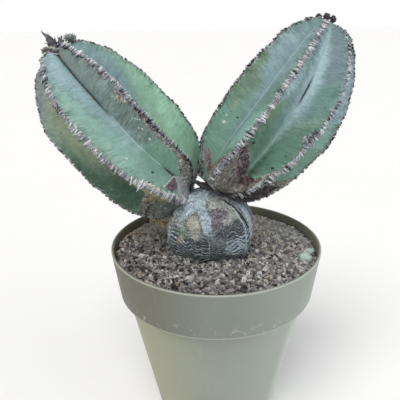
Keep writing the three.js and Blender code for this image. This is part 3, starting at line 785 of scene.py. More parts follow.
def addStump():
    # rows lie close together where the stump shows; reach = radius (1 - depth (1 - 0.75 c - 0.25 c^6)), where
    # c is |cos 3a| of the azimuth a, plus the corners: bells of the azimuth that fade out upwards
    share = np.linspace(0, 1, stump["rows"])
    heights = smoothThrough([0, 0.16, 0.9, 1], [stump["rootTip"] + 0.5, 150, 205, stump["top"] - 0.05], share)
    radius = smoothThrough(stump["heights"], stump["radii"], heights)[:, None]
    u = 2 * np.pi * np.arange(stump["columns"]) / stump["columns"]
    azimuth = np.arctan2(np.cos(u), -np.sin(u)) - math.radians(stump["ribTurn"])
    fade = ease(stump["ribStart"], stump["ribFull"], heights)[:, None]
    crest = np.abs(np.cos(3 * azimuth))
    sharp = 0.75 * crest + 0.25 * crest ** 6
    reach = radius * (1 - stump["ribDepth"] * fade * (1 - sharp))
    turned = np.degrees(np.arctan2(np.cos(u), -np.sin(u)))[None]
    for middle, amount, half, height in stump["corners"]:
        low = ease(height + stump["cornerFade"], height, heights)[:, None]
        reach = reach + amount * bell(turned - middle, half) * low
    ring = np.stack([np.cos(u), np.sin(u)], -1)
    flat = reach[..., None] * ring + stump["centre"]
    grid = np.concatenate([flat, heights[:, None, None] + np.zeros((1, len(u), 1))], -1)
    normals = tubeNormals(grid)
    shown = ease(stump["reliefStart"], stump["reliefFull"], heights)[:, None]

    # wrinkles: a cosine of the height less the sag, bent by noise and deepest low down; the sag is a rounded
    # V, sqrt(turn^2 + round^2) of the turn from the nearest of three seams, up to a limit
    z = grid[..., 2]
    turn = np.degrees(np.arctan2(grid[..., 0] - stump["centre"][0], stump["centre"][1] - grid[..., 1]))
    fromSeam = (turn - stump["seamAt"] + 60) % 120 - 60
    sag = stump["sag"] * np.minimum(np.hypot(fromSeam, stump["seamRound"]), stump["sagMost"])
    bent = z - sag + 9.0 * noise(grid * [1, 1, 0.6], 16.0, 8, 2) + 3.0 * noise(grid * [1, 1, 0.8], 6.0, 18, 2)
    wave = 0.5 + 0.5 * np.cos(2 * np.pi * bent / stump["wrinkleStep"])
    patchy = ease(-0.3, 0.25, noise(grid, 8.0, 78, 2))
    low = ease(184, 172, z - 0.8 * sag + 6 * noise(grid, 12.0, 79, 2)) * (0.35 + 0.65 * patchy)
    relief = stump["wrinkleDepth"] * (wave ** 0.8 - 0.5) * (0.05 + 1.1 * low)
    relief = relief + stump["lumps"] * noise(grid, 11.0, 28, 3) + 0.4 * noise(grid, 2.6, 38, 2)
    top = ease(196, 205, z)
    relief = relief + top * 0.8 * noise(grid, 4.0, 48, 2)
    grid = grid + normals * (relief * shown)[..., None]

    # colour fields by azimuth in degrees, from the front to the right, and height
    fields = {"wrinkle": wave, "creased": 0.15 + 0.85 * low}
    across = turn * stump["degreeWidth"]
    for name, outlines in stumpMarks.items():
        total = np.zeros(z.shape)
        for soft, corners in outlines:
            places = np.array(corners, float) * [stump["degreeWidth"], 1]
            total = np.maximum(total, patchShare(across, z, places, soft))
        fields[name] = total
    around = 0.5 + 0.5 * noise(grid * [1, 1, 0.6], 15.0, 68, 3)
    behind = ease(82, 105, np.abs(turn))
    fields["pale"] = np.maximum(fields["pale"], behind * ease(0.5, 0.75, around))
    fields["plum"] = np.maximum(fields["plum"], behind * ease(0.5, 0.3, around) * 0.9)
    points = withPoles(grid, [*stump["centre"], stump["rootTip"]], [*stump["centre"], stump["top"]])
    fields = {name: np.append(values.ravel(), [0, 0]) for name, values in fields.items()}
    faces = wrapFaces(*grid.shape[:2])
    putPiece("corkyStump", points, faces, stumpFinish(), "old_stem", ["stump"], fields)


# Each patch is how far its edge is spread, in millimetres, and its outline as (azimuth, height).
stumpMarks = {
    "pale": [
        (5, ((-80, 208), (-40, 210), (-24, 206), (-26, 200), (-41, 193), (-49, 189), (-62, 190),
            (-74, 198))), (3, ((-72, 183), (-60, 188), (-56, 180), (-64, 170))),
        (4, ((56, 202), (80, 197), (86, 166), (56, 160))),
        (4, ((20, 176), (44, 180), (46, 168), (24, 164))),
    ],
    "green": [
        (3, ((-44, 191), (-34, 197), (-27, 203), (-19, 201), (-31, 195), (-36, 188))),
        (3, ((-55, 183), (-42, 187), (-27, 182), (-30, 178), (-47, 178))),
        (4, ((-65, 160), (-30, 164), (-30, 155), (-60, 153))),
        (5, ((58, 194), (78, 190), (82, 172), (58, 168))),
    ],
    "tan": [
        (2.2, ((-36, 193), (-30, 196), (-21, 198), (-13, 190), (-13, 185), (-25, 184), (-33, 188))),
        (2.2, ((-50, 178), (-38, 181), (-37, 174), (-47, 170))),
        (2.2, ((-25, 185), (-15, 185), (-16, 179), (-25, 179))),
        (2.2, ((-76, 188), (-60, 193), (-55, 188), (-68, 182))),
        (2.2, ((-2, 208), (10, 207), (10, 203), (0, 203))),
    ],
    "band": [
        (2.5, ((-34, 211), (-16, 210), (-8, 203), (0, 197), (1, 191), (-3, 185), (-8, 186), (-14, 194),
            (-23, 201), (-32, 206))),
    ],
    "cream": [
        (3.5, ((-10, 208), (32, 208), (44, 204), (50, 196), (38, 195), (31, 200), (16, 203), (-4, 203))),
        (2.5, ((16, 193), (34, 198), (44, 199), (42, 194), (22, 189))),
        (2.5, ((-58, 194), (-50, 191), (-38, 188), (-38, 184), (-56, 187))),
    ],
    "plum": [(3.5, ((1, 203), (26, 203), (32, 199), (28, 193), (14, 187), (2, 188), (-1, 198)))],
    "dark": [
        (5, ((32, 196), (50, 194), (46, 178), (12, 180), (2, 186), (20, 190))),
        (4, ((-32, 178), (-8, 181), (4, 178), (-10, 173))),
    ],
    "seam": [
        (0.7, ((-4.5, 189), (-3.5, 189), (-0.5, 173), (0, 163), (-1.5, 163), (-2, 178))),
        (0.8, ((40, 203), (43, 202), (49, 188), (48, 160), (45.5, 160), (47, 186))),
    ],
    "crack": [
        (0.9, ((30, 207), (38, 206), (47, 202), (53, 192), (55, 184), (52, 184), (50, 191), (44, 201),
            (36, 204))),
    ],
}

addStump()
print("stage: stump")
addGrit()


# Heads

headForm = {
    "rows": 430, "perSide": 18, "crowding": 1.35, "evenShare": 0.6, "crestRounding": 0.055, "faceBulge": 0.05,
    "capDepth": 8.0, "capShare": 0.05, "baseFade": 0.14, "baseValley": 0.82,
    "perRib": 42, "spacing": 4.2, "first": 0.012, "last": 0.99,
    "toothHeight": 0.85, "toothReach": 2.4, "pleatDepth": 0.4, "pleatReach": 6.0, "swell": 0.6,
    "wander": 1.7, "wanderSize": 15.0, "wanderReach": 8.0, "corkRise": 0.8, "fold": 0.7, "panelWidth": 45.0,
    "headLength": 170.0, "tipFade": 9.0, "frontPoint": (0.0, -368.0, 342.0),
}

leftHead = {
    "base": (-26.5, 12.0, 197.0), "tip": (-130.5, 27.0, 324.0), "bend": (-1.5, -1.5),
    "radius": 49.0, "neckRadius": 12.0, "widest": 0.51, "lowerCurve": (2.25, 2.3), "upperCurve": (2.45, 2.1),
    "twist": 26.0, "twistEnd": 0.45, "seed": 11,
    "azimuth": (-90, -30, 31, 90, 150, 210), "drift": (2, -11, -17, -8, -3, 0),
    "reach": (1.04, 1.06, 0.83, 0.965, 1.0, 1.02), "taper": (0.04, 0.04, 0.0, -0.25, -0.05, 0.0),
    "valley": (0.6, 0.62, 0.6, 0.6, 0.58, 0.6), "lean": (0, 0.5, 0, 0, 0, 0),
    "bumps": [(2, -0.7, 0.0, 0.075), (3, -0.5, 0.01, 0.06), (1, 0.3, 0.982, 0.02), (0, 0.06, 0.73, 0.08),
              (0, -0.03, 0.33, 0.05), (3, 0.03, 0.41, 0.035), (3, 0.02, 0.7, 0.12), (3, -0.03, 0.88, 0.04),
              (3, 0.05, 0.965, 0.03)],
}

rightHead = {
    "base": (8.0, 8.0, 206.0), "tip": (89.5, 31.0, 343.0), "bend": (6.5, 1.5),
    "radius": 48.5, "neckRadius": 12.0, "widest": 0.5, "lowerCurve": (2.3, 2.05), "upperCurve": (1.75, 2.2),
    "twist": -8.0, "twistEnd": 0.49, "seed": 23,
    "azimuth": (-72, -12.5, 42, 93, 157, 222), "drift": (27, 14, 18, -17, -8, 8),
    "reach": (0.975, 0.91, 0.98, 0.95, 1.0, 1.0), "taper": (-0.25, -0.5, 0.22, 0.25, 0.05, -0.05),
    "valley": (0.66, 0.56, 0.6, 0.6, 0.58, 0.6), "lean": (-1, 0.5, 0, 0, 0, 0),
    "bumps": [(0, 1.7, -0.037, 0.018), (0, 0.4, 0.0, 0.02), (5, 0.3, -0.02, 0.025), (3, 0.42, 0.985, 0.02),
              (3, 0.07, 0.94, 0.04), (0, 0.05, 0.83, 0.04), (3, -0.02, 0.8, 0.08), (3, 0.03, 0.46, 0.05),
              (3, -0.03, 0.33, 0.05), (0, -0.12, 0.97, 0.03)],
}


def headAxes(plan):
    # base, tip and the unit directions along the head, to its front and to its right
    base, tip = np.array(plan["base"]), np.array(plan["tip"])
    axis = unit(tip - base)
    front = np.array(headForm["frontPoint"]) - (base + tip) / 2
    front = unit(front - axis * (front @ axis))
    return base, tip, axis, front, np.cross(axis, front)


def crestRadius(plan, s):
    # a superellipse from the neck to the widest station, another to the tip, and a round cap below zero
    widest = plan["widest"]
    below, above = clamp((widest - s) / widest), clamp((s - widest) / (1 - widest))
    swell = (1 - below ** plan["lowerCurve"][0]) ** (1 / plan["lowerCurve"][1])
    lower = plan["neckRadius"] + (plan["radius"] - plan["neckRadius"]) * swell
    upper = plan["radius"] * (1 - above ** plan["upperCurve"][0]) ** (1 / plan["upperCurve"][1])
    cap = plan["neckRadius"] * np.sqrt(clamp(1 - (s / headForm["capShare"]) ** 2))
    return np.where(s < 0, cap, np.where(s < widest, lower, upper))


def sectionMiddle(plan, s):
    # base + (tip - base) s + bow (bend across + bend front), moved back along the axis in the cap
    base, tip, axis, front, right = headAxes(plan)
    above = np.maximum(s, 0)[..., None]
    bow = 4 * above * (1 - above)
    back = headForm["capDepth"] * clamp(-s / headForm["capShare"])[..., None]
    bend = plan["bend"][0] * right + plan["bend"][1] * front
    return base + (tip - base) * above + bow * bend - back * axis


def ribAngle(plan, rib, s):
    # azimuth + drift (s - 1/2) + twist (1 - s / twistEnd)^2, in radians, from the front to the right
    turn = plan["azimuth"][rib % 6] + 360 * (rib // 6) + plan["drift"][rib % 6] * (s - 0.5)
    return np.radians(turn + plan["twist"] * clamp((plan["twistEnd"] - s) / plan["twistEnd"]) ** 2)


def ribReach(plan, rib, s):
    # (reach + taper (s - 1/2)) (1 + the rib's own bumps, each a bell about its station)
    bumps = [amount * bell(s - at, half) for which, amount, at, half in plan["bumps"] if which == rib % 6]
    return (plan["reach"][rib % 6] + plan["taper"][rib % 6] * (s - 0.5)) * (1 + sum(bumps))


def polar(angle, radius):
    # (radius sin angle, radius cos angle): to the right and to the front
    return np.stack([radius * np.sin(angle), radius * np.cos(angle)], -1)


def crestFlat(plan, rib, s):
    # the crest lies at the rib's angle, its reach times the crest radius out
    return polar(ribAngle(plan, rib, s), ribReach(plan, rib, s) * crestRadius(plan, s))


def grooveFlat(plan, rib, s):
    # halfway round from a rib to the next, and lean further, at the valley's share of their mean reach
    fade = clamp((headForm["baseFade"] - s) / headForm["baseFade"]) ** 2
    valley = plan["valley"][rib % 6] + (headForm["baseValley"] - plan["valley"][rib % 6]) * fade
    reach = valley * crestRadius(plan, s) * (ribReach(plan, rib, s) + ribReach(plan, rib + 1, s)) / 2
    lean = math.radians(plan["lean"][rib % 6]) * ease(0.1, 0.4, s)
    return polar((ribAngle(plan, rib, s) + ribAngle(plan, rib + 1, s)) / 2 + lean, reach)


def liftFlat(plan, s, flat):
    # a section's flat point (right, front) set on the head's axis at station s
    front, right = headAxes(plan)[3:]
    return sectionMiddle(plan, s) + flat[..., :1] * right + flat[..., 1:] * front


def crestCount(plan, rib, s):
    # how many areoles lie between station s and the first, spaced evenly along the crest, and a function that
    # gives the station for such a number
    trace = np.linspace(-headForm["capShare"], 1, 400)
    steps = np.linalg.norm(np.diff(liftFlat(plan, trace, crestFlat(plan, rib, trace)), axis=0), axis=-1)
    length = np.concatenate([[0], np.cumsum(steps)])
    first, last = np.interp([headForm["first"], headForm["last"]], trace, length)
    count = (length - first) / (last - first) * (headForm["perRib"] - 1)
    return np.interp(s, trace, count), lambda wanted: np.interp(wanted, count, trace)


def ribSide(plan, rib, s, u):
    # the rib's section for u from -1, its left groove, over 0, its crest, to 1, its right groove:
    # crest + t (right + left) / 2 + u (right - left) / 2, where
    # t = (sqrt(u^2 + e^2) - e) / (sqrt(1 + e^2) - e) rounds the crest, and a bulge 4 |u| (1 - |u|) stands off
    # each face
    crest = crestFlat(plan, rib, s)
    toRight = grooveFlat(plan, rib, s) - crest
    toLeft = grooveFlat(plan, rib - 1, s) - crest
    e = headForm["crestRounding"]
    t = (np.sqrt(u * u + e * e) - e) / (math.sqrt(1 + e * e) - e)
    side = np.where(u < 0, -1.0, 1.0)[..., None]
    run = np.where(side < 0, toLeft, toRight)
    bulge = side * headForm["faceBulge"] * (4 * np.abs(u) * (1 - np.abs(u)))[..., None]
    flat = crest + t[..., None] * (toRight + toLeft) / 2 + u[..., None] * (toRight - toLeft) / 2
    return flat + bulge * np.stack([-run[..., 1], run[..., 0]], -1), np.linalg.norm(run, axis=-1)


def headGrid(plan):
    # every rib's right side and the next rib's left side, in order round the head, for all stations
    share = np.linspace(0, 1, headForm["rows"] + 2)[1:-1]
    even = headForm["evenShare"]
    mixed = even * share + (1 - even) * (1 - np.cos(np.pi * share)) / 2
    s = (mixed * (1 + headForm["capShare"]) - headForm["capShare"])[:, None]
    steps = np.arange(headForm["perSide"]) / headForm["perSide"]
    rightward, leftward = steps ** headForm["crowding"], -((1 - steps) ** headForm["crowding"])
    blocks, facts = [], []
    for rib in range(6):
        for side, u in ((rib, rightward), (rib + 1, leftward)):
            here = s + 0 * u
            flat, run = ribSide(plan, side % 6, here, u + 0 * s)
            count = crestCount(plan, side % 6, s[:, 0])[0][:, None] + 0 * u
            across = np.where(u < 0, 1 - np.abs(u) / 2, u / 2) + 0 * s
            blocks.append(liftFlat(plan, here, flat))
            fromCrest, fromGroove = np.abs(u) * run, (1 - np.abs(u)) * run
            own = np.full(here.shape, side % 6)
            facts.append(np.stack([here, rib + across, fromCrest, fromGroove, count, own], -1))
    return np.concatenate(blocks, 1), np.concatenate(facts, 1)


def areoleSize(rib, count, seed):
    # each areole's own size, 1 on average
    whole = np.round(count)
    return 1 + 0.3 * cellNumber(np.stack([rib, whole, 0 * whole], -1).astype(np.int64), seed)


def crestWander(plan, points):
    # a slow sideways noise by which a crest strays from its smooth line
    parts = [noise(points, headForm["wanderSize"], plan["seed"] + 200 + 17 * i, 3, 0.4) for i in range(3)]
    return headForm["wander"] * np.stack(parts, -1)


def headMarks(facts, marks):
    # the fields of one head's patches, by panel and station in rough millimetres; a field is the most that
    # any of its outlines gives, and zero where it has none
    s, panel = facts[..., 0] * headForm["headLength"], facts[..., 1]
    fields = {}
    for name in markNames:
        total = np.zeros(s.shape)
        for soft, corners in marks.get(name, []):
            corners = np.array(corners, float)
            middle = corners[:, 0].mean()
            places = (corners - [middle, 0]) * [headForm["panelWidth"], headForm["headLength"]]
            across = ((panel - middle + 3) % 6 - 3) * headForm["panelWidth"]
            total = np.maximum(total, patchShare(across, s, places, soft))
        fields[name] = total
    return fields


tones = {
    "leaf": "617f73", "leafLight": "6f9080", "wax": "a9bcc3", "furrow": "2f403c", "ridge": "a9b9b3",
    # the pale and dark line tones are a painted highlight and painted shade along the grooves
    "band": "393b40", "bandPale": "a6a9b0", "paleLine": "9db4b0", "darkLine": "1d2729", "dot": "1c201d",
    "fleck": "b3c1b5", "scab": ("1e1b1b", "6a6462"),
}

# The tints of the patches, in the order in which they are laid on
tints = {
    # Of the tints below, the bright green is partly and the pale green after it wholly painted light, lifting
    # the left head's shaded lower face.
    "mint": "80a499", "teal": "6a8f80", "bright": "82a98f", "glow": "92bea3", "sea": "6e8f85",
    # deep is dark green, partly the plant's colour and partly painted shade on the left head's underside and
    # at the foot of a groove on the right head
    "grey": "667873", "dust": "78857f", "olive": "89947a", "yellow": "a8ab88", "deep": "27482f",
    "pine": "4c7162", "moss": "607a64", "bloom": "6c878b", "slate": "667d84", "frost": "8fa9b1",
    "ice": "a4bec5", "lagoon": "8fb2a9", "shaded": "577b72", "mauve": "788784", "haze": "7a949a",
}

# Corky and stained parts in painting order: how ragged the edge is, the share laid on, how streaked the tone
# is, how strongly the strokes comb it, and the tone's ramp
crusts = {
    "cork": (1.0, 1.0, 0.0, 0.0, [(0.3, "272625"), (0.43, "63615d"), (0.56, "9f9d98"), (0.72, "d6d5d3")]),
    "wood": (1.0, 1.0, 0.5, 0.0, [(0.25, "302f2c"), (0.4, "5c5a54"), (0.56, "88867f"), (0.72, "c2c0b9")]),
    "rim": (1.2, 1.0, 0.0, 0.0, [(0.34, "191c1e"), (0.45, "4d5355"), (0.55, "878c8f"), (0.68, "c3c7c8")]),
    # under is dark cork at the head's base, partly painted shade under the head where it sits on the stump
    "under": (1.0, 0.9, 0.0, 0.0, [(0.3, "15100f"), (0.5, "352f2e"), (0.68, "615a59")]),
    "ash": (1.0, 0.9, 0.3, 0.0, [(0.3, "434743"), (0.5, "6c726c"), (0.7, "9a9f98")]),
    "straw": (1.6, 0.85, 0.0, 2.2, [(0.3, "57533f"), (0.45, "8c8669"), (0.58, "b3ad90"), (0.72, "dad6c2")]),
    "lilac": (0.7, 1.0, 0.0, 0.0, [(0.3, "626268"), (0.5, "94959b"), (0.7, "c0c1c6")]),
    "cream": (1.0, 1.0, 0.0, 0.0, [(0.3, "4a504a"), (0.45, "8f978f"), (0.58, "c3c9c3"), (0.72, "e0e3df")]),
    "rust": (1.0, 0.8, 0.0, 0.0, [(0.3, "3a2a22"), (0.5, "64503f"), (0.7, "93806c")]),
    "wine": (0.7, 0.95, 0.5, 0.0, [(0.32, "251a20"), (0.48, "44363d"), (0.6, "6d5a63"), (0.7, "a08e96")]),
    "pink": (0.6, 1.0, 0.5, 0.0, [(0.32, "33262c"), (0.5, "705a64"), (0.68, "ab969e")]),
}

# Every field of a patch, those of the thin lines and dots last
markNames = [*tints, *crusts, "etched", "dot", "fleck", "paleLine", "darkLine"]


def headFinish(name):
    # waxy green under tints, strokes, etched lines and corky parts, painted highlight and shade along the
    # grooves, and the combed skin beside the areoles
    finish = Finish(name, Specular_IOR_Level=0.35)
    gap, valley, beat = finish.field("gap"), finish.field("valley"), finish.field("beat")
    fray = finish.speckle(5.0, 4.0, 0.6, warp=0.8) - 0.5
    smallFray = finish.speckle(1.8, 4.0, 0.72, warp=0.8) - 0.5
    fineMottle = finish.speckle(0.8, 4.0, 0.8) - 0.5

    # strokes: noise drawn out away from the crest, by the length along the crest and the way in from it
    drift = finish.speckle(22.0, 1.0) * 5
    along = beat * headForm["spacing"] + finish.speckle(9.0, 2.0) * 5 + gap * 0.25

    def lanes(pitch, length):
        # a place for noise: the way along the crest over pitch, the way in over length
        return finish.add("ShaderNodeCombineXYZ", None, {0: along / pitch, 1: gap / length, 2: drift})

    def strokes(pitch, length):
        # noise round zero whose lumps are pitch wide and length long
        return finish.speckle(1.0, 2.0, 0.6, place=lanes(pitch, length)) - 0.5

    coarse, thin, grain = strokes(1.7, 9.0), strokes(0.75, 5.0), strokes(10.0, 0.9)
    colour = finish.mix(finish.speckle(12.0, 3.0).ease(0.35, 0.65), tones["leaf"], tones["leafLight"])
    for key, tint in tints.items():
        spread = (finish.field(key) + fray * 0.7 + smallFray * 0.35 + coarse * 0.45).ease(0.08, 0.92)
        colour = finish.mix(spread * 0.93, colour, tint)
    waxy = (finish.speckle(2.0, 4.0, 0.7, place=lanes(3.0, 9.0)) - 0.4).limited()
    waxy = waxy * (0.2 + finish.field("bloom"))
    colour = finish.mix(waxy, colour, tones["wax"])

    near = gap.ease(16.0, 1.0)
    grey = finish.field("grey")
    combing = coarse * (0.35 + near * 1.1) + thin * (0.35 + near * 0.5 + grey * 0.5)
    colour = finish.shade(colour, combing)
    colour = finish.shade(colour, fineMottle * 0.7 + (finish.speckle(7.0, 3.0, 0.6) - 0.5) * 0.5)
    etched = finish.field("etched")
    furrows = strokes(1.1, 7.0) + smallFray * 0.25
    colour = finish.mix(furrows.ease(0.05, 0.17) * (0.08 + etched * 0.4), colour, tones["furrow"])
    colour = finish.mix(furrows.ease(-0.08, -0.18) * (0.05 + etched * 0.3), colour, tones["ridge"])
    pits = finish.speckle(2.3, 2.0, 0.5).ease(0.7, 0.76)
    colour = finish.mix(pits * 0.6, colour, tints["deep"])

    # painted light along the groove: a thin painted highlight line, and painted shade, a dark halo with a
    # near-black line in it
    line = (valley + fineMottle * 0.8).ease(0.5, 0.12)
    colour = finish.mix(line * finish.field("paleLine") * 0.9, colour, tones["paleLine"])
    colour = finish.shade(colour, valley.ease(3.5, 0.3) * finish.field("darkLine") * -0.25)
    crack = (valley + fineMottle * 2.4 + smallFray * 2.0).ease(1.3, 0.6)
    colour = finish.mix(crack * finish.field("darkLine") * 0.92, colour, tones["darkLine"])

    # corky and stained parts
    spreads = {}
    for key, (ragged, share, streaked, combed, stops) in crusts.items():
        here = finish.field(key)
        spreads[key] = (here + (fray * 1.1 + smallFray * 0.9) * ragged).ease(0.42, 0.58)
        tone = finish.speckle(1.3, 4.0, 0.75, warp=0.6) + fineMottle * 0.35 + fray * 0.7 + grain * streaked
        colour = finish.mix(spreads[key] * share, colour, finish.ramp(tone, stops))
        if combed:
            colour = finish.shade(colour, coarse * here * combed)
    for key in ("dot", "fleck"):
        colour = finish.mix(finish.field(key).ease(0.35, 0.6), colour, tones[key])
    crust = spreads["cork"].most(spreads["wood"]).most(spreads["rim"]).most(spreads["under"])

    # the skin under the areoles: combed by the strokes, with scabs spreading from it
    ragged = gap - coarse * 7.0 - thin * 4.0 + smallFray * 3.0
    band = ragged.ease(3.2, 1.4)
    bandTone = (thin * 1.6 + fineMottle * 0.8 + 0.52).ease(0.36, 0.6)
    colour = finish.mix(band * 0.9, colour, finish.mix(bandTone, tones["band"], tones["bandPale"]))
    scabs = (finish.speckle(3.2, 4.0, 0.7) + coarse * 0.2).ease(0.61, 0.65) * (gap + fray * 8).ease(9.0, 3.0)
    colour = finish.mix(scabs * 0.9, colour, finish.mix(bandTone, *tones["scab"]))
    colour = finish.shade(colour, fineMottle * crust * 0.9)

    roughness = 0.52 + finish.field("bloom") * 0.12 + crust * 0.3 + finish.speckle(3.0) * 0.08
    relief = fineMottle * (0.5 + crust * 2.5) + coarse * (near * 1.2 + 0.5) + thin * (0.5 + grey * 0.6)
    relief = relief + smallFray * (crust * 3.0 + band * 1.5)
    return finish.close(colour, roughness, relief, 0.55)


def addHead(name, plan, node, marks):
    # the smooth ribs, then a tooth outwards at each areole, the crest's wander sideways, and along the
    # normals the pleats, folds, broad swellings and rough cork
    points, facts = headGrid(plan)
    s, panel, gap, valley, count, rib = np.moveaxis(facts, -1, 0)
    marked = headMarks(facts, marks)
    out = unit(points - sectionMiddle(plan, s))
    normals = tubeNormals(points)
    inRange = ease(-0.5, 0.5, count) * ease(headForm["perRib"] - 0.5, headForm["perRib"] - 1.5, count)
    peak = (0.5 + 0.5 * np.cos(2 * np.pi * count)) ** 1.3
    small = ease(0, headForm["tipFade"], crestRadius(plan, s))
    tooth = headForm["toothHeight"] * (peak * areoleSize(rib, count, plan["seed"]) - 0.25)
    raised = tooth * bell(gap, headForm["toothReach"]) * inRange * small

    # pleats run in from the crest between areoles; folds are wider, by the same lanes, and uneven
    lane = np.stack([count * headForm["spacing"] + 0.25 * gap, gap / 3, 11.0 * rib], -1)
    skew = np.cos(2 * np.pi * (count + 0.03 * gap) + 2.2 * noise(lane, 9.0, plan["seed"] + 5, 2))
    uneven = 0.6 + 0.6 * noise(lane, 7.0, plan["seed"] + 6, 2)
    pleat = -headForm["pleatDepth"] * uneven * (0.5 - 0.5 * skew) * inRange
    pleat = pleat * np.exp(-gap / headForm["pleatReach"])
    fold = headForm["fold"] * noise(lane * [1, 0.6, 1], 11.0, plan["seed"] + 8, 2) * ease(0, 5, valley)
    broad = headForm["swell"] * noise(points, 30.0, plan["seed"], 2)
    broad = broad + 0.12 * noise(points, 5.0, plan["seed"] + 7, 2)
    fray = 0.25 * noise(points, 3.2, plan["seed"] + 9, 3)
    corky = np.maximum(np.maximum(marked["cork"], marked["wood"]), marked["rim"])
    crust = ease(0.4, 0.6, corky + fray)
    rough = crust * (headForm["corkRise"] * noise(points, 4.2, plan["seed"] + 9, 3) + 0.25)
    shift = (pleat * (1 - 0.7 * crust) + broad + fold + rough) * small
    stray = crestWander(plan, points) * (bell(gap, headForm["wanderReach"]) * small)[..., None]
    points = points + stray + out * raised[..., None] + normals * shift[..., None]

    fields = {**marked, "gap": gap, "valley": valley, "beat": count}
    for key, values in fields.items():
        fields[key] = np.append(values.ravel(), [values[0].mean(), values[-1].mean()])
    fields["gap"][-2:] = 0
    base, tip, axis = headAxes(plan)[:3]
    placed = withPoles(points, base - axis * headForm["capDepth"], tip)
    finish = headFinish(name + "Skin")
    putPiece(name, placed, wrapFaces(*points.shape[:2]), finish, "green_stem", [node], fields)


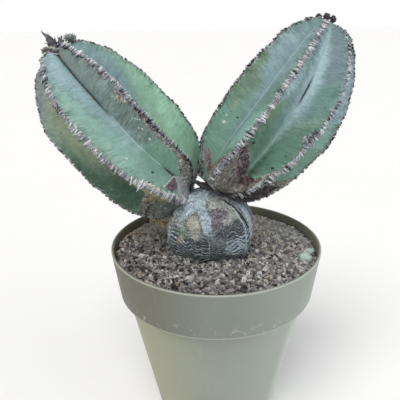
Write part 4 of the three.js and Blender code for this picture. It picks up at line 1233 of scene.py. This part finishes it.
# A patch is how far its edge is spread, in millimetres, and its outline as (panel, station). Panel k + a runs
# from the crest of rib k, at a = 0, over the groove, at a = 0.5, to the next crest, and the station from the
# base, at 0, to the tip, at 1.
leftMarks = {
    "frost": [
        (9, ((1.02, 1.0), (1.5, 1.0), (1.5, 0.45), (1.49, 0.36), (1.42, 0.44), (1.38, 0.61), (1.26, 0.77),
            (1.06, 0.88))),
    ],
    "sea": [(6, ((1.08, 0.32), (1.45, 0.3), (1.48, 0.14), (1.2, 0.14), (1.1, 0.2)))],
    "mauve": [(6, ((1.52, 1.0), (1.97, 0.98), (1.97, 0.78), (1.8, 0.66), (1.6, 0.7), (1.52, 0.8)))],
    "dust": [
        (7, ((0.05, 0.92), (0.2, 0.99), (0.95, 0.99), (0.95, 0.84), (0.5, 0.8), (0.2, 0.74), (0.05, 0.78))),
    ],
    # painted light: the lower face between ribs 2 and 3 lifted out of shade
    "glow": [(6, ((2.98, 0.56), (2.99, 0.08), (2.5, 0.08), (2.5, 0.3), (2.7, 0.46)))],
    "etched": [(6, ((1.505, 0.7), (1.98, 0.65), (1.98, 0.42), (1.9, 0.34), (1.6, 0.34), (1.505, 0.4)))],
    "bloom": [
        (9, ((2.04, 0.97), (2.85, 0.97), (2.77, 0.73), (2.6, 0.6), (2.35, 0.46), (2.02, 0.4),
            (2.02, 0.65))), (9, ((3.2, 0.95), (3.8, 0.95), (3.7, 0.55), (3.3, 0.5))),
        (9, ((4.2, 0.95), (4.8, 0.95), (4.7, 0.5), (4.3, 0.6))),
    ],
    # bright green, partly painted light carried down into the shaded lower face
    "bright": [
        (6, ((2.9, 0.8), (2.98, 0.6), (2.99, 0.2), (2.9, 0.1), (2.5, 0.1), (2.4, 0.33), (2.46, 0.45),
            (2.57, 0.58), (2.71, 0.7))),
    ],
    "mint": [
        (5, ((1.08, 0.85), (1.25, 0.77), (1.3, 0.6), (1.45, 0.41), (1.45, 0.2), (1.26, 0.15), (1.1, 0.2),
            (1.06, 0.4), (1.06, 0.7))), (6, ((2.1, 0.5), (2.5, 0.45), (2.5, 0.2), (2.15, 0.2))),
    ],
    "grey": [
        (2.5, ((1.505, 0.99), (1.85, 0.95), (1.99, 0.8), (2.0, 0.6), (1.98, 0.45), (1.9, 0.33),
            (1.505, 0.38))), (8, ((5.2, 0.9), (5.9, 0.9), (5.9, 0.4), (5.2, 0.4))),
    ],
    "teal": [(2.5, ((1.505, 0.42), (1.9, 0.38), (1.9, 0.25), (1.75, 0.15), (1.6, 0.12), (1.505, 0.12)))],
    "olive": [
        (12, ((0.3, 0.82), (0.96, 0.75), (0.97, 0.56), (0.95, 0.38), (0.5, 0.22), (0.35, 0.26), (0.2, 0.45),
            (0.13, 0.63))), (8, ((5.3, 0.4), (5.8, 0.4), (5.8, 0.2), (5.3, 0.2))),
    ],
    "yellow": [
        (3, ((0.985, 0.65), (0.99, 0.5), (0.98, 0.4), (0.97, 0.26), (0.8, 0.2), (0.72, 0.23), (0.87, 0.4),
            (0.93, 0.54))),
    ],
    # partly dark green, partly painted shade on the underside
    "deep": [
        (14, ((0.14, 0.62), (0.3, 0.46), (0.6, 0.32), (0.65, 0.2), (0.3, 0.1), (0.0, 0.12), (-0.15, 0.3),
            (-0.1, 0.5))),
    ],
    "cork": [
        (2.5, ((1.9, 0.21), (1.98, 0.225), (2.1, 0.2), (2.12, 0.14), (2.1, 0.08), (2.3, 0.04), (2.6, 0.03),
            (2.6, -0.08), (1.5, -0.08), (1.5, 0.07), (1.54, 0.1), (1.58, 0.13), (1.72, 0.175))),
        # along the left side of rib 2's crest: cork, partly painted shadow that the crest casts
        (1.5, ((2.03, 0.57), (2.0, 0.58), (1.92, 0.56), (1.89, 0.47), (1.87, 0.4), (1.86, 0.32),
            (1.86, 0.2), (2.06, 0.2), (2.05, 0.3), (2.04, 0.4), (2.03, 0.5))),
        (1.5, ((1.89, 0.64), (2.02, 0.63), (2.02, 0.55), (1.92, 0.55), (1.82, 0.58), (1.82, 0.62))),
        (3, ((2.6, -0.08), (2.6, 0.03), (3.0, 0.06), (3.5, 0.02), (4.0, 0.06), (4.3, 0.03), (4.3, -0.08))),
        (3, ((4.2, -0.08), (4.3, 0.03), (5.0, 0.07), (5.5, 0.03), (5.9, 0.06), (5.9, -0.08))),
    ],
    "wood": [
        (2.5, ((0.97, 0.24), (1.02, 0.18), (0.95, 0.12), (0.97, 0.07), (1.1, 0.03), (1.1, -0.08),
            (-0.3, -0.08), (-0.2, 0.03), (0.0, 0.11), (0.2, 0.14), (0.45, 0.17), (0.75, 0.22))),
    ],
    # dark cork, partly painted shade under the head's base
    "under": [
        (3, ((0.3, 0.12), (0.5, 0.08), (0.75, 0.05), (0.9, 0.02), (0.9, -0.08), (-0.2, -0.08),
            (0.0, 0.08))),
    ],
    "lilac": [
        (1.5, ((1.48, 0.15), (1.57, 0.135), (1.55, 0.08), (1.5, 0.03), (1.5, -0.05), (1.1, -0.05),
            (1.08, 0.05), (1.2, 0.09), (1.4, 0.111))),
    ],
    "cream": [
        (1.5, ((1.06, 0.25), (1.14, 0.21), (1.11, 0.162), (1.08, 0.12), (1.12, 0.09), (1.2, 0.05),
            (1.1, 0.03), (0.95, 0.07), (0.93, 0.12), (0.98, 0.18), (0.96, 0.25))),
        (0.5, ((1.15, 0.157), (1.5, 0.153), (1.5, 0.147), (1.15, 0.148))),
    ],
    "rust": [
        (1.5, ((1.88, 0.2), (1.96, 0.23), (2.08, 0.21), (2.06, 0.17), (1.9, 0.17))),
        (1.5, ((1.97, 0.5), (2.0, 0.5), (2.0, 0.3), (1.95, 0.3))),
    ],
    "wine": [(0.8, ((1.17, 0.146), (1.5, 0.145), (1.28, 0.095), (1.13, 0.11)))],
    "dot": [
        (0.6, ((1.26, 0.238), (1.29, 0.245), (1.32, 0.238), (1.29, 0.231))),
        (0.6, ((0.25, 0.67), (0.27, 0.675), (0.29, 0.67), (0.27, 0.665))),
        (0.5, ((1.1, 0.222), (1.15, 0.206), (1.15, 0.2), (1.09, 0.214))),
    ],
    "fleck": [
        (0.3, ((1.22, 0.36), (1.23, 0.36), (1.23, 0.375), (1.22, 0.375))),
        (0.4, ((1.77, 0.492), (1.87, 0.458), (1.875, 0.464), (1.775, 0.499))),
        (0.4, ((1.72, 0.445), (1.79, 0.415), (1.795, 0.421), (1.725, 0.451))),
        (0.4, ((1.72, 0.37), (1.75, 0.375), (1.76, 0.36), (1.73, 0.36))),
    ],
    # painted highlight and painted shade along the grooves
    "paleLine": [(8, ((1.3, 0.55), (1.7, 0.55), (1.7, 0.12), (1.3, 0.12)))],
    "darkLine": [
        (8, ((1.3, 1.02), (1.7, 1.02), (1.7, 0.6), (1.3, 0.6))),
        (4, ((1.3, 0.22), (1.7, 0.22), (1.7, 0.1), (1.3, 0.1))),
    ],
    "straw": [
        (2.5, ((0.98, 0.26), (0.99, 0.16), (0.93, 0.09), (0.8, 0.07), (0.5, 0.1), (0.35, 0.15), (0.6, 0.19),
            (0.8, 0.23))),
    ],
    "ash": [
        (3, ((0.9, 0.1), (0.95, 0.02), (0.9, -0.08), (-0.1, -0.08), (0.0, 0.06), (0.3, 0.11), (0.6, 0.1))),
    ],
}
rightMarks = {
    "frost": [
        (8, ((2.03, 0.9), (2.97, 0.9), (2.99, 0.6), (2.5, 0.55), (2.04, 0.6))),
        (5, ((1.02, 0.72), (1.2, 0.7), (1.2, 0.57), (1.03, 0.53))),
    ],
    "slate": [(9, ((1.52, 0.99), (1.97, 0.98), (1.98, 0.64), (1.85, 0.56), (1.6, 0.5), (1.51, 0.5)))],
    "pine": [
        (5, ((1.56, 0.4), (1.66, 0.45), (1.78, 0.5), (1.95, 0.54), (1.97, 0.3), (1.85, 0.2), (1.62, 0.2))),
        (4, ((1.03, 0.44), (1.25, 0.42), (1.38, 0.26), (1.05, 0.27))),
    ],
    "ice": [
        (6, ((1.36, 0.95), (1.5, 0.95), (1.6, 0.82), (1.64, 0.66), (1.58, 0.5), (1.5, 0.44), (1.42, 0.5),
            (1.38, 0.6), (1.32, 0.75), (1.3, 0.85))),
    ],
    "lagoon": [(3.5, ((1.41, 0.52), (1.56, 0.5), (1.53, 0.17), (1.47, 0.17)))],
    "shaded": [(4, ((1.66, 0.66), (1.92, 0.75), (1.96, 0.68), (1.87, 0.57), (1.74, 0.53)))],
    "moss": [
        (4, ((0.02, 0.72), (0.12, 0.78), (0.3, 0.7), (0.38, 0.56), (0.3, 0.46), (0.12, 0.42), (0.03, 0.5))),
        (4, ((1.05, 0.4), (1.08, 0.52), (1.17, 0.55), (1.22, 0.44), (1.14, 0.37))),
    ],
    "haze": [
        (6, ((0.12, 0.72), (0.12, 0.82), (0.3, 0.85), (0.62, 0.8), (0.66, 0.68), (0.5, 0.6), (0.3, 0.6),
            (0.24, 0.66))),
    ],
    "etched": [(8, ((1.55, 0.6), (1.8, 0.6), (1.7, 0.42), (1.52, 0.38)))],
    "bloom": [
        (7, ((0.1, 0.85), (0.2, 0.97), (0.97, 0.97), (0.95, 0.86), (0.8, 0.72), (0.64, 0.45), (0.54, 0.22),
            (0.49, 0.17), (0.45, 0.38), (0.39, 0.55), (0.3, 0.7))),
        (8, ((1.04, 0.98), (1.5, 0.97), (1.505, 0.66), (1.5, 0.46), (1.42, 0.4), (1.32, 0.45), (1.26, 0.55),
            (1.15, 0.68), (1.05, 0.8))), (9, ((3.2, 0.95), (3.8, 0.95), (3.7, 0.55), (3.3, 0.5))),
        (9, ((4.2, 0.95), (4.8, 0.95), (4.7, 0.5), (4.3, 0.6))),
    ],
    "mint": [
        (5, ((0.6, 0.4), (0.95, 0.5), (0.97, 0.3), (0.7, 0.2))),
        (6, ((2.2, 0.6), (2.9, 0.6), (2.9, 0.35), (2.2, 0.35))),
    ],
    "teal": [
        (5, ((0.05, 0.25), (0.02, 0.5), (0.03, 0.68), (0.23, 0.667), (0.38, 0.548), (0.44, 0.334),
            (0.46, 0.16), (0.17, 0.16))), (5, ((1.02, 0.5), (1.2, 0.45), (1.3, 0.3), (1.02, 0.3))),
        (3, ((2.05, 0.35), (2.9, 0.45), (2.9, 0.2), (2.3, 0.15))),
    ],
    "olive": [(3, ((0.2, 0.45), (0.25, 0.45), (0.27, 0.4), (0.22, 0.4)))],
    # partly dark green, partly painted shade at the foot of the groove
    "deep": [(5, ((1.505, 0.12), (1.51, 0.36), (1.6, 0.36), (1.75, 0.2), (1.65, 0.15)))],
    "cork": [
        (2.5, ((1.72, 0.15), (1.84, 0.2), (1.95, 0.27), (2.0, 0.24), (2.0, 0.1), (1.8, 0.06))),
        (3, ((2.03, 0.22), (2.2, 0.18), (2.5, 0.17), (2.8, 0.22), (3.0, 0.26), (3.1, 0.2), (3.1, -0.08),
            (2.0, -0.08), (2.0, 0.1))),
        (3, ((3.1, -0.08), (3.1, 0.12), (3.5, 0.04), (4.0, 0.08), (4.3, 0.04), (4.3, -0.08))),
        (3, ((4.2, -0.08), (4.3, 0.04), (5.0, 0.09), (5.4, 0.05), (5.8, 0.15), (5.9, 0.15), (5.9, -0.08))),
    ],
    "wood": [
        (2.5, ((0.4, 0.1), (0.6, 0.13), (0.89, 0.175), (0.98, 0.24), (1.05, 0.31), (1.2, 0.27), (1.4, 0.21),
            (1.57, 0.165), (1.77, 0.16), (1.93, 0.11), (2.0, 0.03), (1.6, -0.08), (0.3, -0.08),
            (0.4, 0.03))),
    ],
    "rim": [
        (2, ((-0.12, 0.2), (0.06, 0.22), (0.15, 0.16), (0.28, 0.09), (0.33, 0.02), (0.3, -0.08),
            (-0.2, -0.08), (-0.3, 0.1))),
        (1.5, ((0.93, 0.12), (0.95, 0.2), (1.0, 0.3), (1.06, 0.3), (1.08, 0.2), (1.05, 0.1))),
        (1.5, ((1.86, 0.44), (1.9, 0.51), (2.0, 0.5), (2.0, 0.4), (1.93, 0.38))),
    ],
    # dark cork, partly painted shade under the head's base
    "under": [
        (3, ((0.1, 0.01), (0.8, 0.01), (1.3, 0.02), (1.9, 0.04), (2.0, -0.08), (0.1, -0.08))),
        (3, ((2.06, 0.12), (2.3, 0.14), (2.6, 0.15), (2.9, 0.18), (2.95, 0.03), (2.6, -0.08),
            (2.02, -0.08))),
    ],
    "cream": [
        (1.5, ((1.9, 0.05), (1.92, 0.12), (1.95, 0.2), (2.0, 0.26), (2.05, 0.2), (2.08, 0.1),
            (2.04, 0.04))),
    ],
    "wine": [
        (0.8, ((1.05, 0.29), (1.17, 0.265), (1.4, 0.215), (1.5, 0.15), (1.39, 0.128), (1.25, 0.162),
            (1.14, 0.21))), (1.5, ((1.48, 0.12), (1.66, 0.165), (1.8, 0.155), (1.8, 0.105), (1.61, 0.1))),
    ],
    "pink": [
        (0.8, ((0.2, 0.14), (0.26, 0.17), (0.36, 0.14), (0.5, 0.08), (0.42, 0.06), (0.28, 0.1))),
        (0.4, ((1.4, 0.13), (1.5, 0.15), (1.47, 0.18), (1.52, 0.15), (1.45, 0.12))),
    ],
    "dot": [
        (0.6, ((0.37, 0.372), (0.4, 0.378), (0.43, 0.372), (0.4, 0.366))),
        (0.6, ((1.8, 0.249), (1.83, 0.258), (1.86, 0.249), (1.83, 0.24))),
        (0.5, ((1.82, 0.33), (1.84, 0.335), (1.86, 0.33), (1.84, 0.325))),
        (0.6, ((1.14, 0.308), (1.17, 0.318), (1.2, 0.308), (1.17, 0.298))),
    ],
    "fleck": [
        (0.6, ((0.23, 0.32), (0.26, 0.33), (0.29, 0.32), (0.26, 0.31))),
        (0.5, ((0.21, 0.355), (0.23, 0.362), (0.25, 0.355), (0.23, 0.348))),
    ],
    # painted highlight and painted shade along the grooves
    "paleLine": [
        (6, ((0.3, 0.95), (0.7, 0.95), (0.7, 0.13), (0.3, 0.13))),
        (5, ((1.3, 0.57), (1.7, 0.57), (1.7, 0.12), (1.3, 0.12))),
        (5, ((1.3, 1.0), (1.7, 1.0), (1.7, 0.73), (1.3, 0.73))),
    ],
    "darkLine": [(5, ((1.3, 0.7), (1.7, 0.7), (1.7, 0.58), (1.3, 0.58)))],
}

addHead("leftHead", leftHead, "head_left", leftMarks)
addHead("rightHead", rightHead, "head_right", rightMarks)
print("stage: heads")


# Areole wool

wool = {
    "perAreole": 3, "padHalf": (2.0, 0.5, 0.55), "lift": 0.1, "hairs": 9, "hairLength": 0.9,
    "hairRadius": 0.22, "crumple": 0.9, "smallAt": 10.0, "stationStep": 0.004, "knots": (0.05, 0.5, 0.95),
    "tones": [(0.0, "121315"), (0.2, "34373b"), (0.4, "666a70"), (0.6, "989ba3"), (0.8, "c3c6cc"),
              (1.0, "eceded")],
}

# For each rib: how pale and how wide its wool is near the base, at mid length and near the tip, and how much
# paler it is on the side towards the next rib. The last two ribs are at the back, and alike.
backPale, backWidth = [(0.5, 0.55, 0.6)] * 2, [(1.0, 1.0, 1.0)] * 2
leftWool = {
    "pale": [(0.55, 0.55, 0.5), (0.94, 0.84, 0.8), (0.5, 0.62, 0.8), (0.6, 0.45, 0.5), *backPale],
    "width": [(0.9, 0.8, 0.8), (1.4, 1.45, 1.3), (1.1, 1.15, 1.2), (1.3, 0.9, 0.7), *backWidth],
    "sides": (0.1, 0.1, 0.5, 0.0, 0.0, 0.0),
}
rightWool = {
    "pale": [(0.5, 0.45, 0.5), (0.62, 0.88, 0.96), (0.6, 0.92, 0.88), (0.6, 0.6, 0.6), *backPale],
    "width": [(1.1, 1.0, 0.8), (1.1, 1.05, 1.0), (1.1, 1.05, 0.9), (1.0, 0.9, 0.8), *backWidth],
    "sides": (0.0,) * 6,
}


def woolFinish():
    # each pad and hair has its own tone, from nearly black to nearly white
    finish = Finish("areoleWool", Specular_IOR_Level=0.1)
    colour = finish.ramp(finish.field("pale"), wool["tones"])
    colour = finish.shade(colour, (finish.speckle(0.5, 2.0) - 0.5) * 1.2)
    return finish.close(colour, 0.95, finish.speckle(0.3, 2.0), 0.4)


def addWool(name, plan, look, finish):
    # small cross-wise pads, close together along each crest, and short hairs standing out of them
    random = np.random.default_rng(plan["seed"] + 100)
    count = headForm["perRib"] * wool["perAreole"]
    places, outs, alongs, brightness, girth, sideTones, widths = [], [], [], [], [], [], []
    for rib in range(6):
        whole = (np.arange(count) + 0.7 * random.random(count)) / wool["perAreole"]
        s = crestCount(plan, rib, np.zeros(1))[1](whole)
        steps = (s - wool["stationStep"], s + wool["stationStep"])
        before, after = [liftFlat(plan, step, crestFlat(plan, rib, step)) for step in steps]
        along = unit(after - before)
        point = liftFlat(plan, s, crestFlat(plan, rib, s))
        out = point - sectionMiddle(plan, s)
        out = unit(out - along * np.sum(out * along, -1, keepdims=True))
        radius = crestRadius(plan, s)
        size = areoleSize(rib + 0 * whole, whole, plan["seed"]) * ease(0, wool["smallAt"], radius)
        stray = crestWander(plan, point) * ease(0, headForm["tipFade"], radius)[:, None]
        peak = 0.5 + 0.5 * np.cos(2 * np.pi * whole)
        lift = wool["lift"] + headForm["toothHeight"] * (0.6 * peak - 0.25)
        places.append(point + stray + out * (lift * size)[:, None])
        outs.append(out)
        alongs.append(along)
        brightness.append(np.interp(s, wool["knots"], look["pale"][rib]))
        widths.append(np.interp(s, wool["knots"], look["width"][rib]))
        girth.append(np.maximum(size, 0.35))
        sideTones.append(np.full(count, look["sides"][rib]))
    point, out, along = np.concatenate(places), np.concatenate(outs), np.concatenate(alongs)
    bright, size = np.concatenate(brightness), np.concatenate(girth) * (0.6 + 0.8 * random.random(len(point)))
    bright = clamp(bright + 0.24 * random.normal(size=len(bright)))
    sideTone, width = np.concatenate(sideTones), np.concatenate(widths)
    across = np.cross(along, out)
    tilt = 0.25 * random.normal(size=(len(point), 1))
    across, along = unit(across + tilt * along), unit(along - tilt * across)
    turns = np.stack([across, along, out], -1)
    shape = ballShape(4, 8)
    padSizes = size[:, None] * np.array(wool["padHalf"])
    padSizes[:, 0] *= width
    pads = copies(shape, point, turns, padSizes, wool["crumple"], plan["seed"])

    hairs = wool["hairs"]
    total = len(point) * hairs
    spread = (random.random((total, 2)) - 0.5) * 2
    side = np.repeat(across * width[:, None], hairs, 0) * spread[:, :1]
    ahead = unit(np.repeat(out, hairs, 0) + side * 1.4 + random.normal(size=(total, 3)) * 0.35)
    fromPad = side * 2.2 + np.repeat(along, hairs, 0) * spread[:, 1:] * 0.8
    roots = np.repeat(point, hairs, 0) + fromPad * np.repeat(size, hairs)[:, None]
    length = wool["hairLength"] * np.repeat(size, hairs) * (0.6 + 0.7 * random.random(total))
    thick = np.full(total, wool["hairRadius"]) * (0.7 + 0.6 * random.random(total))
    sizes = np.stack([thick, thick, length], -1)
    spikes = copies(hairShape(), roots, turnsTo(ahead, random.random(total) * 2 * math.pi), sizes)
    padTone = (bright[:, None] + sideTone[:, None] * shape[0][:, 0]).ravel()
    padTone = clamp(padTone - 0.12 + 0.5 * noise(pads[0], 1.1, 3, 2))
    hairTone = np.repeat(bright, hairs) + np.repeat(sideTone, hairs) * spread[:, 0]
    hairTone = clamp(hairTone + 0.32 * random.normal(size=total))
    points, faces = joinParts([pads, spikes])
    fields = {"pale": np.concatenate([padTone, np.repeat(hairTone, 4)])}
    putPiece(name, points, faces, finish, "fruit_wool", (), fields)


woolMaterial = woolFinish()
addWool("leftWool", leftHead, leftWool, woolMaterial)
addWool("rightWool", rightHead, rightWool, woolMaterial)
print("stage: areole wool")


# Dried flowers, fruit and buds at the tips

driedTones = {
    "petal": ("2b2a2e", "6e6c73", "bdbdc0"), "chaff": ("65665f", "b1b2a9", "e4e5dd"),
    "bud": ("2a2429", "514850", "8c858d"),
}

dried = {
    "flower": {
        "node": "dried_flower_left", "at": (-1, 0, 1), "knob": (3.8, 3.2, 3.4), "seed": 3,
        "spikes": [((-6.9, -1, 14.6), 4.3), ((-5.2, -1.6, 11), 3.8), ((-3.2, -2.2, 9.5), 3.3),
                   ((-6.0, 1.6, 9.0), 2.8), ((-1.0, -2, 8.2), 2.5), ((1.8, -1, 8.8), 2.0),
                   ((3.6, 0, 6.8), 1.8), ((-6.6, -1.5, 5), 2.0)],
        # dark flakes in the petal finish between the pale scale strips: a dark sheet standing for the shadow
        # between them
        "scraps": [((-5.6, -8.0, -0.7), (2.6, 2.0, 1.0)), ((-1.2, -12.2, -0.5), (2.8, 1.6, 0.9)),
                   ((3.4, -14.2, -0.9), (2.6, 1.4, 0.9))],
    },
    "tuft": {
        "node": "dried_tuft_left", "at": (5, 0, 5), "knob": (2.6, 2.2, 2.4), "seed": 4,
        "spikes": [((-2.2, -1, 6.0), 1.3), ((0.6, 1, 6.2), 1.3), ((2.7, -1, 4.6), 1.3),
                   ((-0.6, -1.6, 5.0), 1.1), ((1.6, -0.8, 5.6), 1.1), ((4.2, -0.4, 2.6), 1.2)],
    },
    "scales": {
        "node": "dried_scales_left", "at": (-6.6, -1, -3), "knob": (3.6, 2.4, 2.4), "seed": 6,
        "spikes": [((-5.8, -1, 1.8), 2.0), ((-3, -2, 4.0), 2.0), ((-4.6, 2, -1), 1.6),
                   ((-5.2, -1.8, 3.0), 1.8), ((2.6, -12, 1.8), 2.0)],
        "scraps": [((-6.2, -5, 0.4), (2.4, 2.0, 0.9)), ((-3.4, -9.6, 1.5), (2.4, 1.8, 0.8)),
                   ((0.8, -12.4, 1.4), (2.5, 1.6, 0.9)), ((4.4, -14.0, 0.4), (2.2, 1.4, 0.8)),
                   ((-6.8, -6, -2.6), (2.4, 1.8, 1.0)), ((-3.7, -10.8, -2.3), (2.2, 1.8, 1.0)),
                   ((0.2, -13.6, -2.5), (2.6, 1.6, 1.0)), ((4.2, -15.4, -3.2), (2.2, 1.4, 0.8))],
    },
}


def spikeTube(foot, point, radius, seed):
    # a withered petal: rings of radius r (1 - t)^0.8 (0.85 + 0.2 sin(9.3 t)) (1 + 0.35 cos 3u) along a line
    # that wavers by sines of t
    rows, columns = 14, 7
    t = np.linspace(0, 0.97, rows)[:, None]
    run = np.array(point, float)
    ahead = unit(run)[None]
    turn = turnsTo(ahead, np.array([seed * 1.7]))[0]
    u = 2 * np.pi * np.arange(columns) / columns + 2.2 * t
    waver = 0.5 * np.concatenate([np.sin(5.1 * t + seed), np.cos(4.3 * t + 2 * seed), 0 * t], -1) * t * radius
    width = radius * (1 - t) ** 0.8 * (0.85 + 0.2 * np.sin(9.3 * t + seed)) * (1 + 0.35 * np.cos(3 * u))
    ring = np.stack([width * np.cos(u), 0.72 * width * np.sin(u), 0 * width], -1)
    grid = foot + run * t[..., None] + (ring + waver[:, None]) @ turn.T
    return withPoles(grid, foot - ahead[0] * radius * 0.4, foot + run), wrapFaces(rows, columns)


def lumpyBall(centre, half, crumple, size, seed):
    # centre + half * direction * (1 + crumple * noise of the direction)
    points, faces = ballShape(14, 22)
    push = 1 + crumple * noise(points * 10, size * 10, seed, 3)
    return np.array(centre) + points * np.array(half) * push[:, None], faces


def driedFinish(name, darkTone, midTone, paleTone):
    # two tones in fine streaks, with pale specks
    finish = Finish(name, Specular_IOR_Level=0.2)
    streak = finish.speckle(1.1, 4.0, 0.7)
    colour = finish.mix(streak.ease(0.3, 0.55), darkTone, midTone)
    colour = finish.mix(finish.speckle(0.8, 3.0).ease(0.58, 0.72) * 0.8, colour, paleTone)
    return finish.close(colour, 0.85, streak + finish.speckle(0.4, 2.0) * 0.5, 0.6)


def addDried():
    # each is a lumpy knob with withered petals standing out of it and, for some, scraps lying over the rim:
    # pale flakes for the scales, and for the flower dark flakes that are painted shadow between those strips
    tip = np.array(leftHead["tip"])
    brown = driedFinish("driedPetal", *driedTones["petal"])
    chaff = driedFinish("driedChaff", *driedTones["chaff"])
    for name, plan in dried.items():
        foot = tip + plan["at"]
        parts = [lumpyBall(foot, plan["knob"], 0.25, 0.8, plan["seed"])]
        for i, (point, radius) in enumerate(plan["spikes"]):
            parts.append(spikeTube(foot, point, radius, plan["seed"] + i))
        for i, (at, half) in enumerate(plan.get("scraps", [])):
            parts.append(lumpyBall(tip + at, half, 1.1, 0.45, 20 + i))
        points, faces = joinParts(parts)
        finish = chaff if name == "scales" else brown
        putPiece("dried" + name.capitalize(), points, faces, finish, "dried_flower", [plan["node"]])


fruit = {
    "at": (13.0, 0, 8.6), "half": (4.0, 3.0, 2.3), "hairs": 240, "length": 2.9, "radius": 0.5, "seed": 31,
    "tones": [(0.0, "363b3d"), (0.4, "747e7e"), (0.7, "a6afaf"), (1.0, "d9dedd")],
}


def addFruit():
    # a lumpy core with short hairs standing out of it all round
    random = np.random.default_rng(fruit["seed"])
    centre = np.array(leftHead["tip"]) + fruit["at"]
    core = lumpyBall(centre, fruit["half"], 0.5, 0.6, fruit["seed"])
    ahead = unit(random.normal(size=(fruit["hairs"], 3)))
    roots = centre + ahead * fruit["half"] * 0.85
    ahead = unit(ahead + 0.45 * random.normal(size=ahead.shape))
    length = fruit["length"] * (0.5 + 0.6 * random.random(fruit["hairs"]))
    thick = np.full(fruit["hairs"], fruit["radius"])
    turns = turnsTo(ahead, 6 * random.random(fruit["hairs"]))
    hair = copies(hairShape(), roots, turns, np.stack([thick, thick, length], -1))
    coreTone = 0.4 + 0.4 * noise(core[0], 2.0, 5, 2)
    hairTone = clamp(0.55 + 0.25 * random.normal(size=fruit["hairs"]))
    points, faces = joinParts([core, hair])
    fields = {"pale": np.concatenate([coreTone, np.repeat(hairTone, 4)])}
    finish = Finish("fruitWool", Specular_IOR_Level=0.1)
    colour = finish.ramp(finish.field("pale"), fruit["tones"])
    material = finish.close(finish.shade(colour, finish.speckle(0.6, 2.0) - 0.5), 0.95)
    putPiece("woollyFruit", points, faces, material, "fruit_wool", ["woolly_fruit_left"], fields)


buds = {
    "driedBud1": {"node": "dried_bud_right_1", "at": (-7.5, 0, 2.4), "half": (2.5, 2.3, 2.6), "seed": 41},
    "driedBud2": {"node": "dried_bud_right_2", "at": (-1.2, 0, 2.8), "half": (2.7, 2.4, 2.9), "seed": 42},
    "driedBud3": {"node": "dried_bud_right_3", "at": (3.9, 0, 0.8), "half": (2.5, 2.2, 2.7), "seed": 43},
}
budScales = {"count": 70, "radius": 0.4, "shortest": 0.7, "spread": 0.8}


def addBuds():
    # each is a lumpy core with short pointed scales standing out of it all round
    finish = driedFinish("driedBud", *driedTones["bud"])
    count = budScales["count"]
    thick = np.full(count, budScales["radius"])
    for name, plan in buds.items():
        random = np.random.default_rng(plan["seed"])
        centre = np.array(rightHead["tip"]) + plan["at"]
        core = lumpyBall(centre, plan["half"], 0.4, 0.55, plan["seed"])
        ahead = unit(random.normal(size=(count, 3)))
        turns = turnsTo(ahead, 6 * random.random(count))
        length = budScales["shortest"] + budScales["spread"] * random.random(count)
        roots = centre + ahead * plan["half"] * 0.8
        scales = copies(hairShape(), roots, turns, np.stack([thick, thick, length], -1))
        points, faces = joinParts([core, scales])
        putPiece(name, points, faces, finish, "dried_flower", [plan["node"]])


stones = {
    "stoneChipLarge": {
        "node": "stone_chip_large", "at": (73.5, -25, 159), "half": (5.4, 4.4, 5.2), "planes": 14, "seed": 5,
    },
    "stoneChipSmall": {
        "node": "stone_chip_small", "at": (80, -9, 158.5), "half": (3.7, 2.9, 2.9), "planes": 14, "seed": 9,
    },
}
stoneTones = {"mottle": ("93a8a2", "c3d2cc"), "specks": "7b8480"}


def addStones():
    # a ball whose points are pulled in to the nearest of some random planes: a cleaved chip
    finish = Finish("stoneChip", Specular_IOR_Level=0.4)
    colour = finish.mix(finish.speckle(2.4, 4.0, 0.65).ease(0.3, 0.7), *stoneTones["mottle"])
    colour = finish.mix(finish.speckle(1.0, 3.0).ease(0.62, 0.72) * 0.6, colour, stoneTones["specks"])
    material = finish.close(colour, 0.75, finish.speckle(0.8, 4.0, 0.7), 0.6)
    for name, plan in stones.items():
        random = np.random.default_rng(plan["seed"])
        points, faces = ballShape(24, 36)
        planes = unit(random.normal(size=(plan["planes"], 3)))
        offsets = 0.72 + 0.28 * random.random(plan["planes"])
        reach = np.min(offsets / np.maximum(points @ planes.T, 0.12), axis=-1)
        reach = np.minimum(reach, 1.12) * (1 + 0.04 * noise(points * 10, 3.0, 4, 3))
        placed = np.array(plan["at"]) + points * reach[:, None] * plan["half"]
        putPiece(name, placed, faces, material, "stone_chip", [plan["node"]], smooth=False)


addDried()
addFruit()
addBuds()
addStones()
print("stage: dried flowers, fruit, buds and stone chips")
